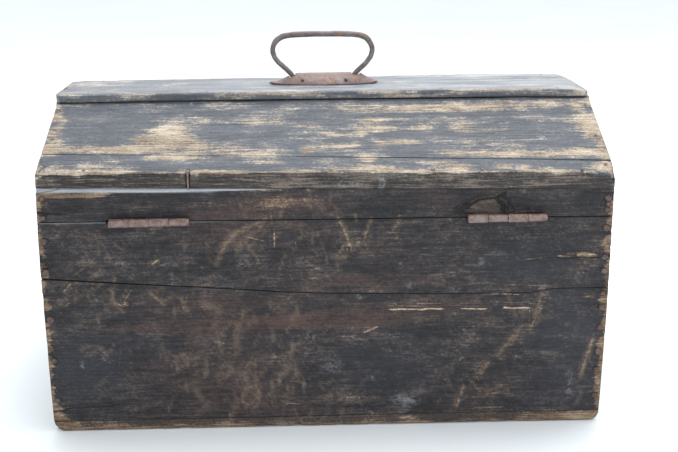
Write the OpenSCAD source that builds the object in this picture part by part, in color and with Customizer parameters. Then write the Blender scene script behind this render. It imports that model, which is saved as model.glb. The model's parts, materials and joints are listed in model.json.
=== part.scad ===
// Donation box: a nailed pine case with a hipless, flat-topped roof lid on two butt hinges,
// an iron bail handle under a raised plate, a rim lock inside the front wall and a coin slot.
// The front, with the keyhole and the coin slot, faces -Y, the hinges are at +Y, and left and
// right are as seen from the front. The origin is the middle of the underside of the case.

/* [Case] */
// Length of the case, side to side
case_l = 540; // [480:5:620]
// Depth of the case, front to back
case_d = 326; // [300:2:360]
// Height of the seam between the case and its lid
seam_z = 212; // [200:1:240]
// Thickness of the wall boards
wall_t = 15; // [13:0.5:18]
// Thickness of the floor boards
floor_t = 10; // [8:0.5:14]
// Open gap at the seam
seam_gap = 0.8; // [0.6:0.1:1.2]
// Height of the joint between the two front wall boards
front_joint_z = 128; // [110:1:140]
// Height of the joint between the two boards of the left end
left_joint_z = 118; // [90:1:150]
// Height of the joint between the two boards of the right end
right_joint_z = 104; // [90:1:150]

/* [Lid] */
// Height of the outer edge of the roof above the seam
eaves_h = 45; // [40:1:55]
// Height of the underside of the top board above the seam
crown_h = 93; // [85:1:110]
// Horizontal run of each slope, from the wall to the top board
slope_run = 115; // [100:1:120]
// Thickness of the sloping boards
roof_t = 15; // [12:0.5:16]
// Thickness of the top board
top_t = 8.5; // [8:0.5:12]
// How far the top board stands out over each slope
top_overhang = 1.5; // [0:0.5:4]
// Width of the flat on which the top board bears on each slope
crown_bearing = 12; // [8:1:16]
// Run of the narrow lower roof board at the right end
course_right = 29; // [20:1:40]
// Run of the narrow lower roof board at the left end
course_left = 16; // [14:1:40]

/* [Hinges] */
// Length of each hinge barrel
hinge_l = 75; // [60:1:90]
// Distance of each hinge from the middle of the case
hinge_x = 168.5; // [120:0.5:190]
// Outer radius of the rolled barrel
barrel_r = 4.25; // [4:0.05:4.5]
// Radius of the hinge pin
pin_r = 2.2; // [1.8:0.05:2.4]
// Thickness of the hinge leaves
leaf_t = 1.8; // [1.4:0.1:2]
// Number of knuckles along the barrel
knuckles = 4; // [4:2:6]

/* [Handle] */
// Radius of the handle's wire
wire_r = 2.8; // [2.4:0.1:3.2]
// Half the width of the bail along its wire's middle
bail_half_w = 52.4; // [48:0.2:58]
// Height of the wire's middle along the grip, above the top board
grip_h = 53.7; // [48:0.1:60]
// Radius of the two upper bends of the bail
bail_bend_r = 15.2; // [12:0.1:18]
// Slant of the bail's legs above the horizontal, in degrees
leg_slant = 49; // [44:1:56]
// Height of the bail's pivot above the top board
pivot_h = 7.6; // [6.5:0.1:8.5]
// Length of the handle plate
plate_l = 112; // [100:1:120]
// Width of the handle plate
plate_w = 27; // [25:0.5:32]
// Thickness of the handle plate
plate_t = 1.5; // [1.2:0.1:1.8]
// Length of the raised channel over the wire
channel_l = 56; // [50:1:58]
// How far from the middle the raised part's ends reach, on the hinge side
plate_end_x = 49; // [44:1:51]

/* [Lock and slot] */
// Height of the keyhole
key_z = 184; // [178:1:186]
// Radius of the round part of the keyhole
key_r = 3; // [2.5:0.1:3.5]
// Reach of the key's bit above the bottom of the bolt
bolt_lift = 8; // [7:0.5:9]
// Length of the coin slot
slot_l = 64; // [50:1:90]
// Width of the coin slot
slot_w = 6; // [5:0.5:9]
// Distance of the coin slot from the front wall
slot_run = 74; // [60:1:90]

/* [Nails] */
// Radius of a nail head
head_r = 2.6; // [2:0.1:3.2]
// Radius of a nail shank
shank_r = 1.1; // [0.9:0.1:1.3]

/* [Hidden] */
$fn = 48;

WOOD = "#4a3f38";
PAINT = "#3c3d41";
ROOF = "#6d7077";
RUST = "#7d5549";
IRON = "#5a4a44";

half_l = case_l / 2;
half_d = case_d / 2;
inner_l = case_l - 2 * wall_t;
inner_d = case_d - 2 * wall_t;
case_top = seam_z - seam_gap / 2;
lid_foot = seam_z + seam_gap / 2;
eaves_z = seam_z + eaves_h;
crown_z = seam_z + crown_h;
top_z = crown_z + top_t;
crown_half = half_d - slope_run;
pitch = (crown_h - eaves_h) / slope_run;
roof_drop = roof_t / cos(atan(pitch));
bearing_half = crown_half - crown_bearing;
top_half_w = crown_half + top_overhang;

// The split between the two back boards follows the grain: [share of half the length, height]
back_split = [
    [1, 156], [0.73, 150.5], [0.45, 145.5], [0.14, 139], [-0.04, 137],
    [-0.5, 134.5], [-0.72, 135], [-0.8, 138.5], [-1, 139]
];

axis_y = half_d + barrel_r + 0.35;
leaf_in_y = half_d - wall_t + 0.5;
leaf_lift = 0.2;
pin_clear = 0.05;
knuckle_l = hinge_l / knuckles;
knuckle_gap = 0.3;
screw_r = 1.7;
screw_head_r = 3.2;
screw_l = 14;
leaf_screw_y = half_d - wall_t / 2;
leaf_screws = [-0.36, 0, 0.36];

pivot_z = top_z + pivot_h;
lobe_x = bail_half_w - bail_bend_r;
lobe_z = grip_h - bail_bend_r;
leg_top = [lobe_x + bail_bend_r * sin(leg_slant), lobe_z - bail_bend_r * cos(leg_slant)];
corner_x = leg_top[0] - (leg_top[1] - pivot_h) / tan(leg_slant);
foot_bend_r = 6;
foot_tangent = foot_bend_r * tan(leg_slant / 2);
leg_foot = [corner_x + foot_tangent * cos(leg_slant), pivot_h + foot_tangent * sin(leg_slant)];
bar_half = corner_x - foot_tangent;
weld_gap = 0.1;
weld_swell = 0.05;
channel_clear = 0.1;
channel_r = wire_r + channel_clear;
ridge_r = channel_r + plate_t;
plate_nail_x = 22;
plate_nail_y = 8.6;
plate_nail_z = 2.6;

lock_back_y = -half_d + wall_t;
lock_deep = 14;
lock_wall = 1.5;
lock_half_w = 32;
lock_flange = 12;
lock_low_z = seam_z - 46;
lock_high_z = seam_z - 4;
bolt_z = [key_z + bolt_lift, key_z + bolt_lift + 4.5];
bolt_y = [lock_back_y + 5.2, lock_back_y + 8.8];
bolt_x = [-24, 6.5];
catch_x = [10, 12];
catch_y = [lock_back_y + 3, lock_back_y + 11.2];
catch_t = 2;
catch_tip_z = bolt_z[0] - 5;
eye_y = [lock_back_y + 4.5, lock_back_y + 9.7];
eye_z = [bolt_z[0] - 1.8, bolt_z[1] + 1.8];

case_nail_x = half_l - 5.5;
nail_l = 38;
// Heights of the nails in each wall, at its left and right ends
back_left_z = [26.5, 53.5, 73, 98, 118.5, 133, 156, 170, 200];
back_right_z = [31.5, 72.5, 114.5, 162, 193];
front_left_z = [30, 78, 112, 150, 196];
front_right_z = [26, 66, 104, 162, 200];
rail_left_z = [seam_z + 7, seam_z + 13, seam_z + 19];
rail_right_z = [seam_z + 3.4, seam_z + 20];
rail_front_z = [seam_z + 9, seam_z + 21];

// ---------------------------------------------------------------- shared shapes

module board(low, high) {
    translate(low) cube(high - low);
}

// A section in the Y-Z plane, run along X from x0 to x1
module along_x(x0, x1, points) {
    translate([x0, 0, 0]) rotate([90, 0, 90]) linear_extrude(x1 - x0) polygon(points);
}

// A nail with a low domed head, its shank running down from a surface at z = 0
module nail(length, proud = 0.8) {
    rotate_extrude($fn = 24) polygon([
        [0, proud], [head_r * 0.6, proud * 0.8], [head_r, proud * 0.1], [head_r, -0.5],
        [shank_r, -0.9], [shank_r, 3 - length], [0, -length]
    ]);
}

// A countersunk screw, its head level with z = 0 and its shank running down
module screw(length, clear = 0) {
    rotate_extrude($fn = 24) polygon([
        [0, 0], [screw_head_r + clear, 0], [screw_r + clear, clear - 1.8], [screw_r + clear, 3 - length],
        [0, -length]
    ]);
}

module each_end() {
    for (side = [-1, 1]) translate([side, 0, 0]) children();
}

// ---------------------------------------------------------------- case

module floor_board(y0, y1) {
    color(WOOD) board([-half_l, y0, 0], [half_l, y1, floor_t]);
}

module end_board(side, z0, z1) {
    x0 = side > 0 ? half_l - wall_t : -half_l;
    color(PAINT) board([x0, -inner_d / 2, z0], [x0 + wall_t, inner_d / 2, z1]);
}

// Recess in the top edge of the back wall, or in the foot of the lid's rail, for one hinge leaf
module leaf_recess(z0, z1) {
    for (side = [-1, 1])
        translate([side * hinge_x, 0, 0])
            board([-hinge_l / 2, leaf_in_y, z0], [hinge_l / 2, half_d + 1, z1]);
}

function split_points(reverse) = [
    for (i = [0 : len(back_split) - 1])
        let (p = back_split[reverse ? len(back_split) - 1 - i : i]) [p[0] * half_l, p[1]]
];

module back_panel(points) {
    translate([0, half_d, 0]) rotate([90, 0, 0]) linear_extrude(wall_t) polygon(points);
}

module back_board_lower() {
    color(PAINT) back_panel(concat([[-half_l, floor_t], [half_l, floor_t]], split_points(false)));
}

module back_board_upper() {
    color(PAINT) difference() {
        back_panel(concat([[half_l, case_top], [-half_l, case_top]], split_points(true)));
        leaf_recess(seam_z - leaf_lift - leaf_t, seam_z);
    }
}

module front_board(z0, z1) {
    color(PAINT) board([-half_l, -half_d, z0], [half_l, -half_d + wall_t, z1]);
}

// Round keyhole with its slit below, cut through from the front
module keyhole() {
    translate([0, -half_d - 3, key_z]) rotate([-90, 0, 0]) cylinder(r = key_r, h = wall_t + 8);
    board([-1.25, -half_d - 3, key_z - 10], [1.25, -half_d + wall_t + 5, key_z]);
}

module front_board_upper() {
    difference() {
        front_board(front_joint_z, case_top);
        keyhole();
    }
}

// ---------------------------------------------------------------- lid

// side is 1 for the back and -1 for the front
module lid_rail(side) {
    inner_y = half_d - wall_t;
    outer_z = eaves_z - roof_drop;
    points = [
        [side * half_d, lid_foot], [side * half_d, outer_z],
        [side * inner_y, outer_z + wall_t * pitch], [side * inner_y, lid_foot]
    ];
    color(PAINT) difference() {
        along_x(-half_l, half_l, points);
        if (side > 0) leaf_recess(seam_z - 1, seam_z + leaf_lift + leaf_t);
    }
}

module lid_end(side) {
    x0 = side > 0 ? half_l - wall_t : -half_l;
    y1 = inner_d / 2;
    wall_z = eaves_z - roof_drop + wall_t * pitch;
    step_z = eaves_z - roof_drop + (half_d - bearing_half) * pitch;
    color(PAINT) along_x(x0, x0 + wall_t, [
        [-y1, lid_foot], [y1, lid_foot], [y1, wall_z], [bearing_half, step_z], [bearing_half, crown_z],
        [-bearing_half, crown_z], [-bearing_half, step_z], [-y1, wall_z]
    ]);
}

module roof_slab(side) {
    along_x(-half_l, half_l, [
        [side * half_d, eaves_z - roof_drop], [side * half_d, eaves_z], [side * crown_half, crown_z],
        [side * bearing_half, crown_z],
        [side * bearing_half, eaves_z - roof_drop + (half_d - bearing_half) * pitch]
    ]);
}

// Plan of the narrow lower roof board, whose joint with the upper one runs at a slant
module course_plan(side) {
    translate([0, 0, seam_z]) linear_extrude(crown_h + 20) polygon([
        [-half_l - 1, side * (half_d + 1)], [half_l + 1, side * (half_d + 1)],
        [half_l + 1, side * (half_d - course_right)], [-half_l - 1, side * (half_d - course_left)]
    ]);
}

module roof_lower(side) {
    color(ROOF) intersection() {
        roof_slab(side);
        course_plan(side);
    }
}

module roof_upper(side) {
    color(ROOF) difference() {
        roof_slab(side);
        course_plan(side);
    }
}

// The coin slot is cut plumb, so a coin falls straight in
module roof_front_upper() {
    slot_y = -half_d + slot_run;
    difference() {
        roof_upper(-1);
        board([-slot_l / 2, slot_y - slot_w / 2, seam_z], [slot_l / 2, slot_y + slot_w / 2, top_z]);
    }
}

module top_board() {
    color(ROOF) board([-half_l, -top_half_w, crown_z], [half_l, top_half_w, top_z]);
}

// ---------------------------------------------------------------- hinges

// up is 1 for the lid's leaf and -1 for the case's leaf
module hinge_leaf(x, up) {
    near_z = seam_z + up * leaf_lift;
    low_z = min(near_z, near_z + up * leaf_t);
    first = up > 0 ? 1 : 0;
    color(IRON) difference() {
        union() {
            board([x - hinge_l / 2, leaf_in_y, low_z],
                  [x + hinge_l / 2, axis_y - barrel_r - 0.3, low_z + leaf_t]);
            for (k = [first : 2 : knuckles - 1]) {
                x0 = x - hinge_l / 2 + k * knuckle_l + knuckle_gap / 2;
                x1 = x0 + knuckle_l - knuckle_gap;
                translate([x0, axis_y, seam_z]) rotate([0, 90, 0]) cylinder(r = barrel_r, h = x1 - x0);
                board([x0, axis_y - barrel_r - 1, low_z], [x1, axis_y - pin_r, low_z + leaf_t]);
            }
        }
        translate([x - hinge_l, axis_y, seam_z]) rotate([0, 90, 0])
            cylinder(r = pin_r + pin_clear, h = 2 * hinge_l);
        for (s = leaf_screws)
            translate([x + s * hinge_l, leaf_screw_y, near_z]) rotate([up > 0 ? 180 : 0, 0, 0])
                screw(screw_l, 0.1);
    }
}

module hinge_pin(x) {
    color(IRON) translate([x - hinge_l / 2, axis_y, seam_z]) rotate([0, 90, 0])
        cylinder(r = pin_r, h = hinge_l);
}

module hinge_screws(up) {
    color(IRON) for (side = [-1, 1], s = leaf_screws)
        translate([side * hinge_x + s * hinge_l, leaf_screw_y, seam_z + up * leaf_lift])
            rotate([up > 0 ? 180 : 0, 0, 0]) screw(screw_l);
}

// ---------------------------------------------------------------- handle

// Section of the plate over the wire: straight sides rising to a round ridge
function tent(foot, r, lean) = concat(
    [[-foot, 0], [-foot, plate_t * 0.8]],
    [for (a = [180 - lean : -10 : lean]) [r * cos(a), pivot_h + r * sin(a)]],
    [[foot, plate_t * 0.8], [foot, 0]]
);

module plate_outline() {
    round_r = (plate_l * plate_l / 4 + plate_w * plate_w / 4) / plate_w;
    intersection() {
        translate([0, plate_w / 2 - round_r]) circle(r = round_r, $fn = 180);
        translate([0, round_r - plate_w / 2]) circle(r = round_r, $fn = 180);
        square([plate_l - 4, plate_w], center = true);
    }
}

// An end of the raised part: it runs out on the hinge side, where the bail's leg rests upright
// behind it, and is open on the other side, where the leg folds down
module plate_end() {
    difference() {
        hull() {
            along_x(channel_l / 2 - 0.3, channel_l / 2, tent(plate_w / 2 - 4, ridge_r, 30));
            board([plate_end_x - 0.3, 2, 0], [plate_end_x, 5, plate_t]);
        }
        board([0, -plate_w, plate_t], [plate_l, wire_r + 0.6, 3 * pivot_h]);
    }
}

module handle_plate() {
    color(RUST) translate([0, 0, top_z]) difference() {
        union() {
            linear_extrude(plate_t) plate_outline();
            along_x(-channel_l / 2, channel_l / 2, tent(plate_w / 2 - 4, ridge_r, 30));
            plate_end();
            mirror([1, 0, 0]) plate_end();
        }
        translate([-plate_l, 0, pivot_h]) rotate([0, 90, 0]) cylinder(r = channel_r, h = 2 * plate_l);
        board([-plate_l, -channel_r, plate_t], [plate_l, channel_r, pivot_h]);
        // Seats and holes for the nails, in the foot of the raised part
        for (x = [-plate_nail_x, plate_nail_x], y = [-plate_nail_y, plate_nail_y]) translate([x, y, 0]) {
            translate([0, 0, plate_nail_z]) cylinder(r = head_r + 0.3, h = pivot_h);
            translate([0, 0, -1]) cylinder(r = shank_r + 0.1, h = pivot_h, $fn = 24);
        }
    }
}

module wire_bend(r, from, to) {
    rotate([90, 0, 0]) rotate([0, 0, from]) rotate_extrude(angle = to - from, $fn = 96)
        translate([r, 0]) circle(r = wire_r, $fn = 32);
}

// A straight length of wire in the X-Z plane, from one point towards another
module wire_run(from, to) {
    run = to - from;
    translate([from[0], 0, from[1]]) rotate([0, atan2(run[0], run[1]), 0])
        translate([0, 0, weld_gap]) cylinder(r = wire_r, h = norm(run) - 2 * weld_gap, $fn = 32);
}

module weld(at) {
    translate([at[0], 0, at[1]]) sphere(r = wire_r + weld_swell, $fn = 48);
}

module bail_half() {
    translate([bar_half, 0, pivot_h + foot_bend_r]) wire_bend(foot_bend_r, -90, leg_slant - 90);
    wire_run(leg_foot, leg_top);
    translate([lobe_x, 0, lobe_z]) wire_bend(bail_bend_r, leg_slant - 90, 90);
    for (at = [[bar_half, pivot_h], leg_foot, leg_top, [lobe_x, grip_h]]) weld(at);
}

module handle_bail() {
    color(RUST) translate([0, 0, top_z]) union() {
        wire_run([-bar_half, pivot_h], [bar_half, pivot_h]);
        wire_run([-lobe_x, grip_h], [lobe_x, grip_h]);
        bail_half();
        mirror([1, 0, 0]) bail_half();
    }
}

module handle_nails() {
    color(RUST) for (x = [-plate_nail_x, plate_nail_x], y = [-plate_nail_y, plate_nail_y])
        translate([x, y, top_z + plate_nail_z + 0.5]) nail(10, 0.8);
}

// ---------------------------------------------------------------- lock

module lock_case() {
    y1 = lock_back_y + lock_deep - lock_wall;
    color(IRON) difference() {
        union() {
            board([-lock_half_w - lock_flange, lock_back_y, lock_low_z],
                  [lock_half_w + lock_flange, lock_back_y + lock_wall, lock_high_z]);
            difference() {
                board([-lock_half_w, lock_back_y, lock_low_z], [lock_half_w, y1, lock_high_z]);
                board([-lock_half_w + lock_wall, lock_back_y + lock_wall, lock_low_z + lock_wall],
                      [lock_half_w - lock_wall, y1 + 1, lock_high_z - lock_wall]);
            }
            // Guides below and above the bolt
            for (z = [bolt_z[0] - 2.8, bolt_z[1] + 0.3])
                board([-20, lock_back_y + 1, z], [-14, bolt_y[1], z + 2.5]);
            for (z = [bolt_z[0] - 2.8, bolt_z[1] + 0.3])
                board([0, lock_back_y + 1, z], [6, bolt_y[1], z + 2.5]);
        }
        keyhole();
        // Way in for the catch
        board([catch_x[0] - 3, lock_back_y + lock_wall, lock_high_z - 3],
              [catch_x[1] + 3, y1 + 1, lock_high_z + 1]);
        for (side = [-1, 1], z = [lock_low_z + 7, lock_high_z - 7])
            translate([side * (lock_half_w + 7), lock_back_y - 1, z]) rotate([-90, 0, 0])
                cylinder(r = screw_r, h = 4);
    }
}

module lock_cover() {
    y1 = lock_back_y + lock_deep;
    color(IRON) board([-lock_half_w, y1 - lock_wall, lock_low_z], [lock_half_w, y1, lock_high_z]);
}

// The key's bit turns in the notch under the bolt and throws it to the right, through the catch
module lock_bolt() {
    color(IRON) difference() {
        union() {
            board([bolt_x[0], bolt_y[0], bolt_z[0]], [bolt_x[1], bolt_y[1], bolt_z[1]]);
            board([bolt_x[0], lock_back_y + lock_wall + 0.3, bolt_z[0]],
                  [bolt_x[0] + 10, bolt_y[1], bolt_z[1]]);
        }
        board([-11, bolt_y[0] - 1, bolt_z[0] - 1], [-5, bolt_y[1] + 1, bolt_z[0] + 1.5]);
    }
}

module lock_catch() {
    plate_x = [-4, 26];
    plate_z = [lid_foot + 1.6, lid_foot + 26];
    color(IRON) difference() {
        union() {
            board([plate_x[0], lock_back_y, plate_z[0]], [plate_x[1], lock_back_y + catch_t, plate_z[1]]);
            // Web that drops into the lock, across the bolt's way
            along_x(catch_x[0], catch_x[1], [
                [lock_back_y + 1, plate_z[1] - 6], [lock_back_y + 1, plate_z[0]],
                [catch_y[0], plate_z[0]], [catch_y[0], catch_tip_z + 3],
                [catch_y[0] + 3, catch_tip_z], [catch_y[1] - 3, catch_tip_z],
                [catch_y[1], catch_tip_z + 3], [catch_y[1], plate_z[0] + 6]
            ]);
        }
        board([catch_x[0] - 1, eye_y[0], eye_z[0]], [catch_x[1] + 1, eye_y[1], eye_z[1]]);
        for (x = [plate_x[0] + 6, plate_x[1] - 6])
            translate([x, lock_back_y - 1, seam_z + 20]) rotate([-90, 0, 0]) cylinder(r = screw_r, h = 4);
    }
}

// A round-headed screw driven towards -Y from a face at y
module inside_screw(x, y, z) {
    translate([x, y, z]) rotate([-90, 0, 0]) rotate_extrude($fn = 24)
        polygon([[0, 1.6], [2, 1.2], [3, 0], [screw_r - 0.1, 0], [screw_r - 0.1, -9], [0, -12]]);
}

module lock_screws() {
    color(IRON) for (side = [-1, 1], z = [lock_low_z + 7, lock_high_z - 7])
        inside_screw(side * (lock_half_w + 7), lock_back_y + lock_wall, z);
}

module catch_screws() {
    color(IRON) for (x = [2, 20]) inside_screw(x, lock_back_y + catch_t, seam_z + 20);
}

module escutcheon() {
    color(RUST) difference() {
        translate([0, -half_d, 0]) rotate([90, 0, 0]) union() {
            translate([0, key_z, 0]) cylinder(r = 11, h = 1.2);
            linear_extrude(1.2) polygon([
                [-8, key_z], [8, key_z], [10, key_z - 6], [7.5, key_z - 17], [0, key_z - 22],
                [-7.5, key_z - 17], [-10, key_z - 6]
            ]);
        }
        keyhole();
    }
}

module escutcheon_pins() {
    color(RUST) for (z = [key_z + 7.5, key_z - 16])
        translate([0, -half_d - 1.2, z]) rotate([90, 0, 0]) rotate_extrude($fn = 24)
            polygon([[0, 0.6], [1.2, 0.3], [1.5, 0], [0.7, 0], [0.7, -9], [0, -10]]);
}

// ---------------------------------------------------------------- nails

// Nails through the front or back wall into the end boards, given as heights at each end
module wall_nails(side, left_z, right_z) {
    color(RUST) for (end = [-1, 1])
        for (z = end < 0 ? left_z : right_z)
            translate([end * case_nail_x, side * half_d, z]) rotate([side * -90, 0, 0]) nail(nail_l);
}

module nails_floor() {
    x_row = [for (i = [-2 : 2]) i * 0.22 * case_l];
    color(RUST) {
        for (x = x_row, side = [-1, 1])
            translate([x, side * (half_d - wall_t / 2), 0]) rotate([180, 0, 0]) nail(nail_l, -0.1);
        for (end = [-1, 1], y = [-0.3, -0.1, 0.12, 0.3])
            translate([end * (half_l - wall_t / 2), y * case_d, 0]) rotate([180, 0, 0]) nail(nail_l, -0.1);
    }
}

// Roof nails stand plumb: a row along the eaves into the rail, and rows up the slope into the ends
module roof_nails(side, eaves_x) {
    eaves_run = 4.5;
    color(RUST) {
        for (x = eaves_x)
            translate([x, side * (half_d - eaves_run), eaves_z + eaves_run * pitch - 0.3]) nail(nail_l);
        for (end = [-1, 1], run = [12, 54, 102])
            translate([end * (half_l - 6.5), side * (half_d - run), eaves_z + run * pitch - 0.3])
                nail(nail_l * 0.75);
    }
}

module nails_top() {
    color(RUST) {
        for (x = [-0.44, -0.22, 0.22, 0.44], side = [-1, 1])
            translate([x * case_l, side * (crown_half - crown_bearing / 2), top_z]) nail(20, 0.5);
        for (end = [-1, 1], y = [-0.35, 0.35])
            translate([end * (half_l - 7), y * crown_half, top_z]) nail(nail_l, 0.5);
    }
}

// The nail at a split in the eaves: its shank shows where the wood beside it broke away
module bare_nail() {
    color(RUST) translate([0.24 * case_l, half_d - 1.2, eaves_z]) nail(nail_l, 0.4);
}

// ---------------------------------------------------------------- nodes

floor_board(14, half_d);  // floor_board_back
floor_board(-half_d, 14);  // floor_board_front
end_board(-1, floor_t, left_joint_z);  // end_left_lower
end_board(-1, left_joint_z, case_top);  // end_left_upper
end_board(1, floor_t, right_joint_z);  // end_right_lower
end_board(1, right_joint_z, case_top);  // end_right_upper
back_board_lower();
back_board_upper();
front_board(floor_t, front_joint_z);  // front_board_lower
front_board_upper();
lid_rail(1);  // lid_rail_back
lid_rail(-1);  // lid_rail_front
lid_end(-1);  // lid_end_left
lid_end(1);  // lid_end_right
roof_lower(1);  // roof_back_lower
roof_upper(1);  // roof_back_upper
roof_lower(-1);  // roof_front_lower
roof_front_upper();
top_board();
hinge_leaf(-hinge_x, -1);  // hinge_left_case_leaf
hinge_leaf(-hinge_x, 1);  // hinge_left_lid_leaf
hinge_pin(-hinge_x);  // hinge_left_pin
hinge_leaf(hinge_x, -1);  // hinge_right_case_leaf
hinge_leaf(hinge_x, 1);  // hinge_right_lid_leaf
hinge_pin(hinge_x);  // hinge_right_pin
hinge_screws(-1);  // hinge_screws_case
hinge_screws(1);  // hinge_screws_lid
handle_plate();
handle_bail();
handle_nails();
lock_case();
lock_cover();
lock_bolt();
lock_catch();
lock_screws();
catch_screws();
escutcheon();
escutcheon_pins();
wall_nails(1, back_left_z, back_right_z);  // nails_back
wall_nails(-1, front_left_z, front_right_z);  // nails_front
nails_floor();
wall_nails(1, rail_left_z, rail_right_z);  // nails_rail_back
wall_nails(-1, rail_front_z, rail_front_z);  // nails_rail_front
roof_nails(1, [-240, -145.5, -99, -3.5, 226]);  // nails_roof_back
roof_nails(-1, [-228, -136, -44, 52, 140, 232]);  // nails_roof_front
nails_top();
bare_nail();
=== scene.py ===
"""The looks of an old painted pine donation box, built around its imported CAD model.

Each board is one fine mesh with rounded, worn edges and uneven faces. Where its paint is worn,
scratched, cracked or stained is held in point attributes, which the materials read. Lengths in this
script are millimetres in the row frame until a mesh is made: X runs along the box, +Y to the
hinges, Z up.
"""
import itertools
import json
import math

import bpy
import numpy as np
from mathutils import Matrix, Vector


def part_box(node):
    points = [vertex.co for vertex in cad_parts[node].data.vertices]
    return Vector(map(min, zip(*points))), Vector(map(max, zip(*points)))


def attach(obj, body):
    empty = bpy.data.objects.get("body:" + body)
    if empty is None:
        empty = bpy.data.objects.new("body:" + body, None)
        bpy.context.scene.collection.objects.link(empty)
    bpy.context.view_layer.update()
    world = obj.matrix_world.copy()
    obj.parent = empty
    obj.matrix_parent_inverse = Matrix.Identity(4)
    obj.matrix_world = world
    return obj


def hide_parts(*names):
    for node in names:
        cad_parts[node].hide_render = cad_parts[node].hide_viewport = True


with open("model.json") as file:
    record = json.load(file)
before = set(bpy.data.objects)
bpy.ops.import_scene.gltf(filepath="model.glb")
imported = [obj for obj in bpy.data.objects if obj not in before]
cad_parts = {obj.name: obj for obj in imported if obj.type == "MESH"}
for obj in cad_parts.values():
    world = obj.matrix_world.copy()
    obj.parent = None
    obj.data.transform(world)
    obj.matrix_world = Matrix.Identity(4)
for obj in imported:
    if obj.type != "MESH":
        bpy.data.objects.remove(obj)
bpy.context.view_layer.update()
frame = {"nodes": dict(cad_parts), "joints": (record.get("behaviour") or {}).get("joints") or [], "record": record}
MM = 0.001

# ------------------------------------------------------------------ sizes, from the frame


def cad(node):
    """Lowest and highest corner of a CAD node, in millimetres."""
    low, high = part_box(node)
    return np.array(low) / MM, np.array(high) / MM


def middle(node):
    """The middle of a CAD node's box."""
    low, high = cad(node)
    return (low + high) / 2


def cad_points(node):
    """A CAD node's points, in millimetres."""
    mesh = frame["nodes"][node].data
    points = np.zeros(len(mesh.vertices) * 3)
    mesh.vertices.foreach_get("co", points)
    return points.reshape(-1, 3) / MM


HALF_L, HALF_D = cad("back_board_lower")[1][:2]
CASE_TOP = cad("back_board_upper")[1][2]
LID_FOOT = cad("lid_rail_front")[0][2]
RAIL_TOP = float(cad("roof_back_lower")[0][2])
TOP_LOW, TOP_HIGH = cad("top_board")
CROWN_Z, TOP_Z = TOP_LOW[2], TOP_HIGH[2]
HINGE_Y, HINGE_Z = middle("hinge_left_pin")[1:]
PIVOT_Z = next(j["pos_m"][2] for j in frame["joints"] if j["name"] == "handle_swing") / MM

# The slope: its plumb edge at the eaves, and where it meets the flat crown under the top board
lower_roof, upper_roof = cad_points("roof_back_lower"), cad_points("roof_back_upper")
eaves_face = lower_roof[np.abs(lower_roof[:, 1] - HALF_D) < 0.01]
EAVES_Z = eaves_face[:, 2].max()
ROOF_T = EAVES_Z - eaves_face[:, 2].min()
CROWN_HALF = upper_roof[upper_roof[:, 2] > CROWN_Z - 0.01][:, 1].max()
BEARING_HALF = upper_roof[:, 1].min()
SLOPE_RUN = HALF_D - CROWN_HALF
PITCH = (CROWN_Z - EAVES_Z) / SLOPE_RUN


def course_run(side_x):
    """How far in from the wall the joint of the two roof boards lies at one end of the lid."""
    end = lower_roof[np.abs(lower_roof[:, 0] - side_x) < 0.01]
    return HALF_D - end[:, 1].min()


COURSE = (course_run(-HALF_L), course_run(HALF_L))

# The wandering seam of the two back boards, from the upper edge of the lower one
seam = cad_points("back_board_lower")
seam = seam[(np.abs(seam[:, 1] - HALF_D) < 0.01) & (seam[:, 2] > CASE_TOP / 4)]
BACK_SEAM_X, _, BACK_SEAM_Z = seam[np.argsort(seam[:, 0])].T

# ------------------------------------------------------------------ seeded noise


def lattice(cell, seed):
    """A repeatable value from 0 to 1 for each whole-numbered point."""
    h = cell[..., 0] * 374761393 + cell[..., 1] * 668265263 + cell[..., 2] * 1440662683 + seed * 97911
    h = (h ^ (h >> 13)) * 1274126177 & 0xFFFFFFFF
    h = (h ^ (h >> 16)) * 2246822519 & 0xFFFFFFFF
    return ((h ^ (h >> 15)) & 0xFFFFFF) / float(0xFFFFFF)


def noise(points, scale, seed, octaves=3):
    """Smooth noise from 0 to 1; scale is the size of its largest features, per axis or for all."""
    p = points / np.asarray(scale, float)
    total, weight, gain = np.zeros(len(p)), 0.0, 1.0
    for octave in range(octaves):
        q = p * 2**octave + 17.3 * octave
        cell = np.floor(q).astype(np.int64)
        f = q - cell
        f = f * f * (3 - 2 * f)
        value = np.zeros(len(p))
        for corner in itertools.product((0, 1), repeat=3):
            share = np.prod([f[:, a] if c else 1 - f[:, a] for a, c in enumerate(corner)], axis=0)
            value += share * lattice(cell + np.array(corner), seed + octave)
        total += value * gain
        weight += gain
        gain *= 0.5
    return total / weight


def smooth(value, low, high):
    """0 below low, 1 above high, and a smooth rise between."""
    t = np.clip((value - low) / (high - low), 0, 1)
    return t * t * (3 - 2 * t)
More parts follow.
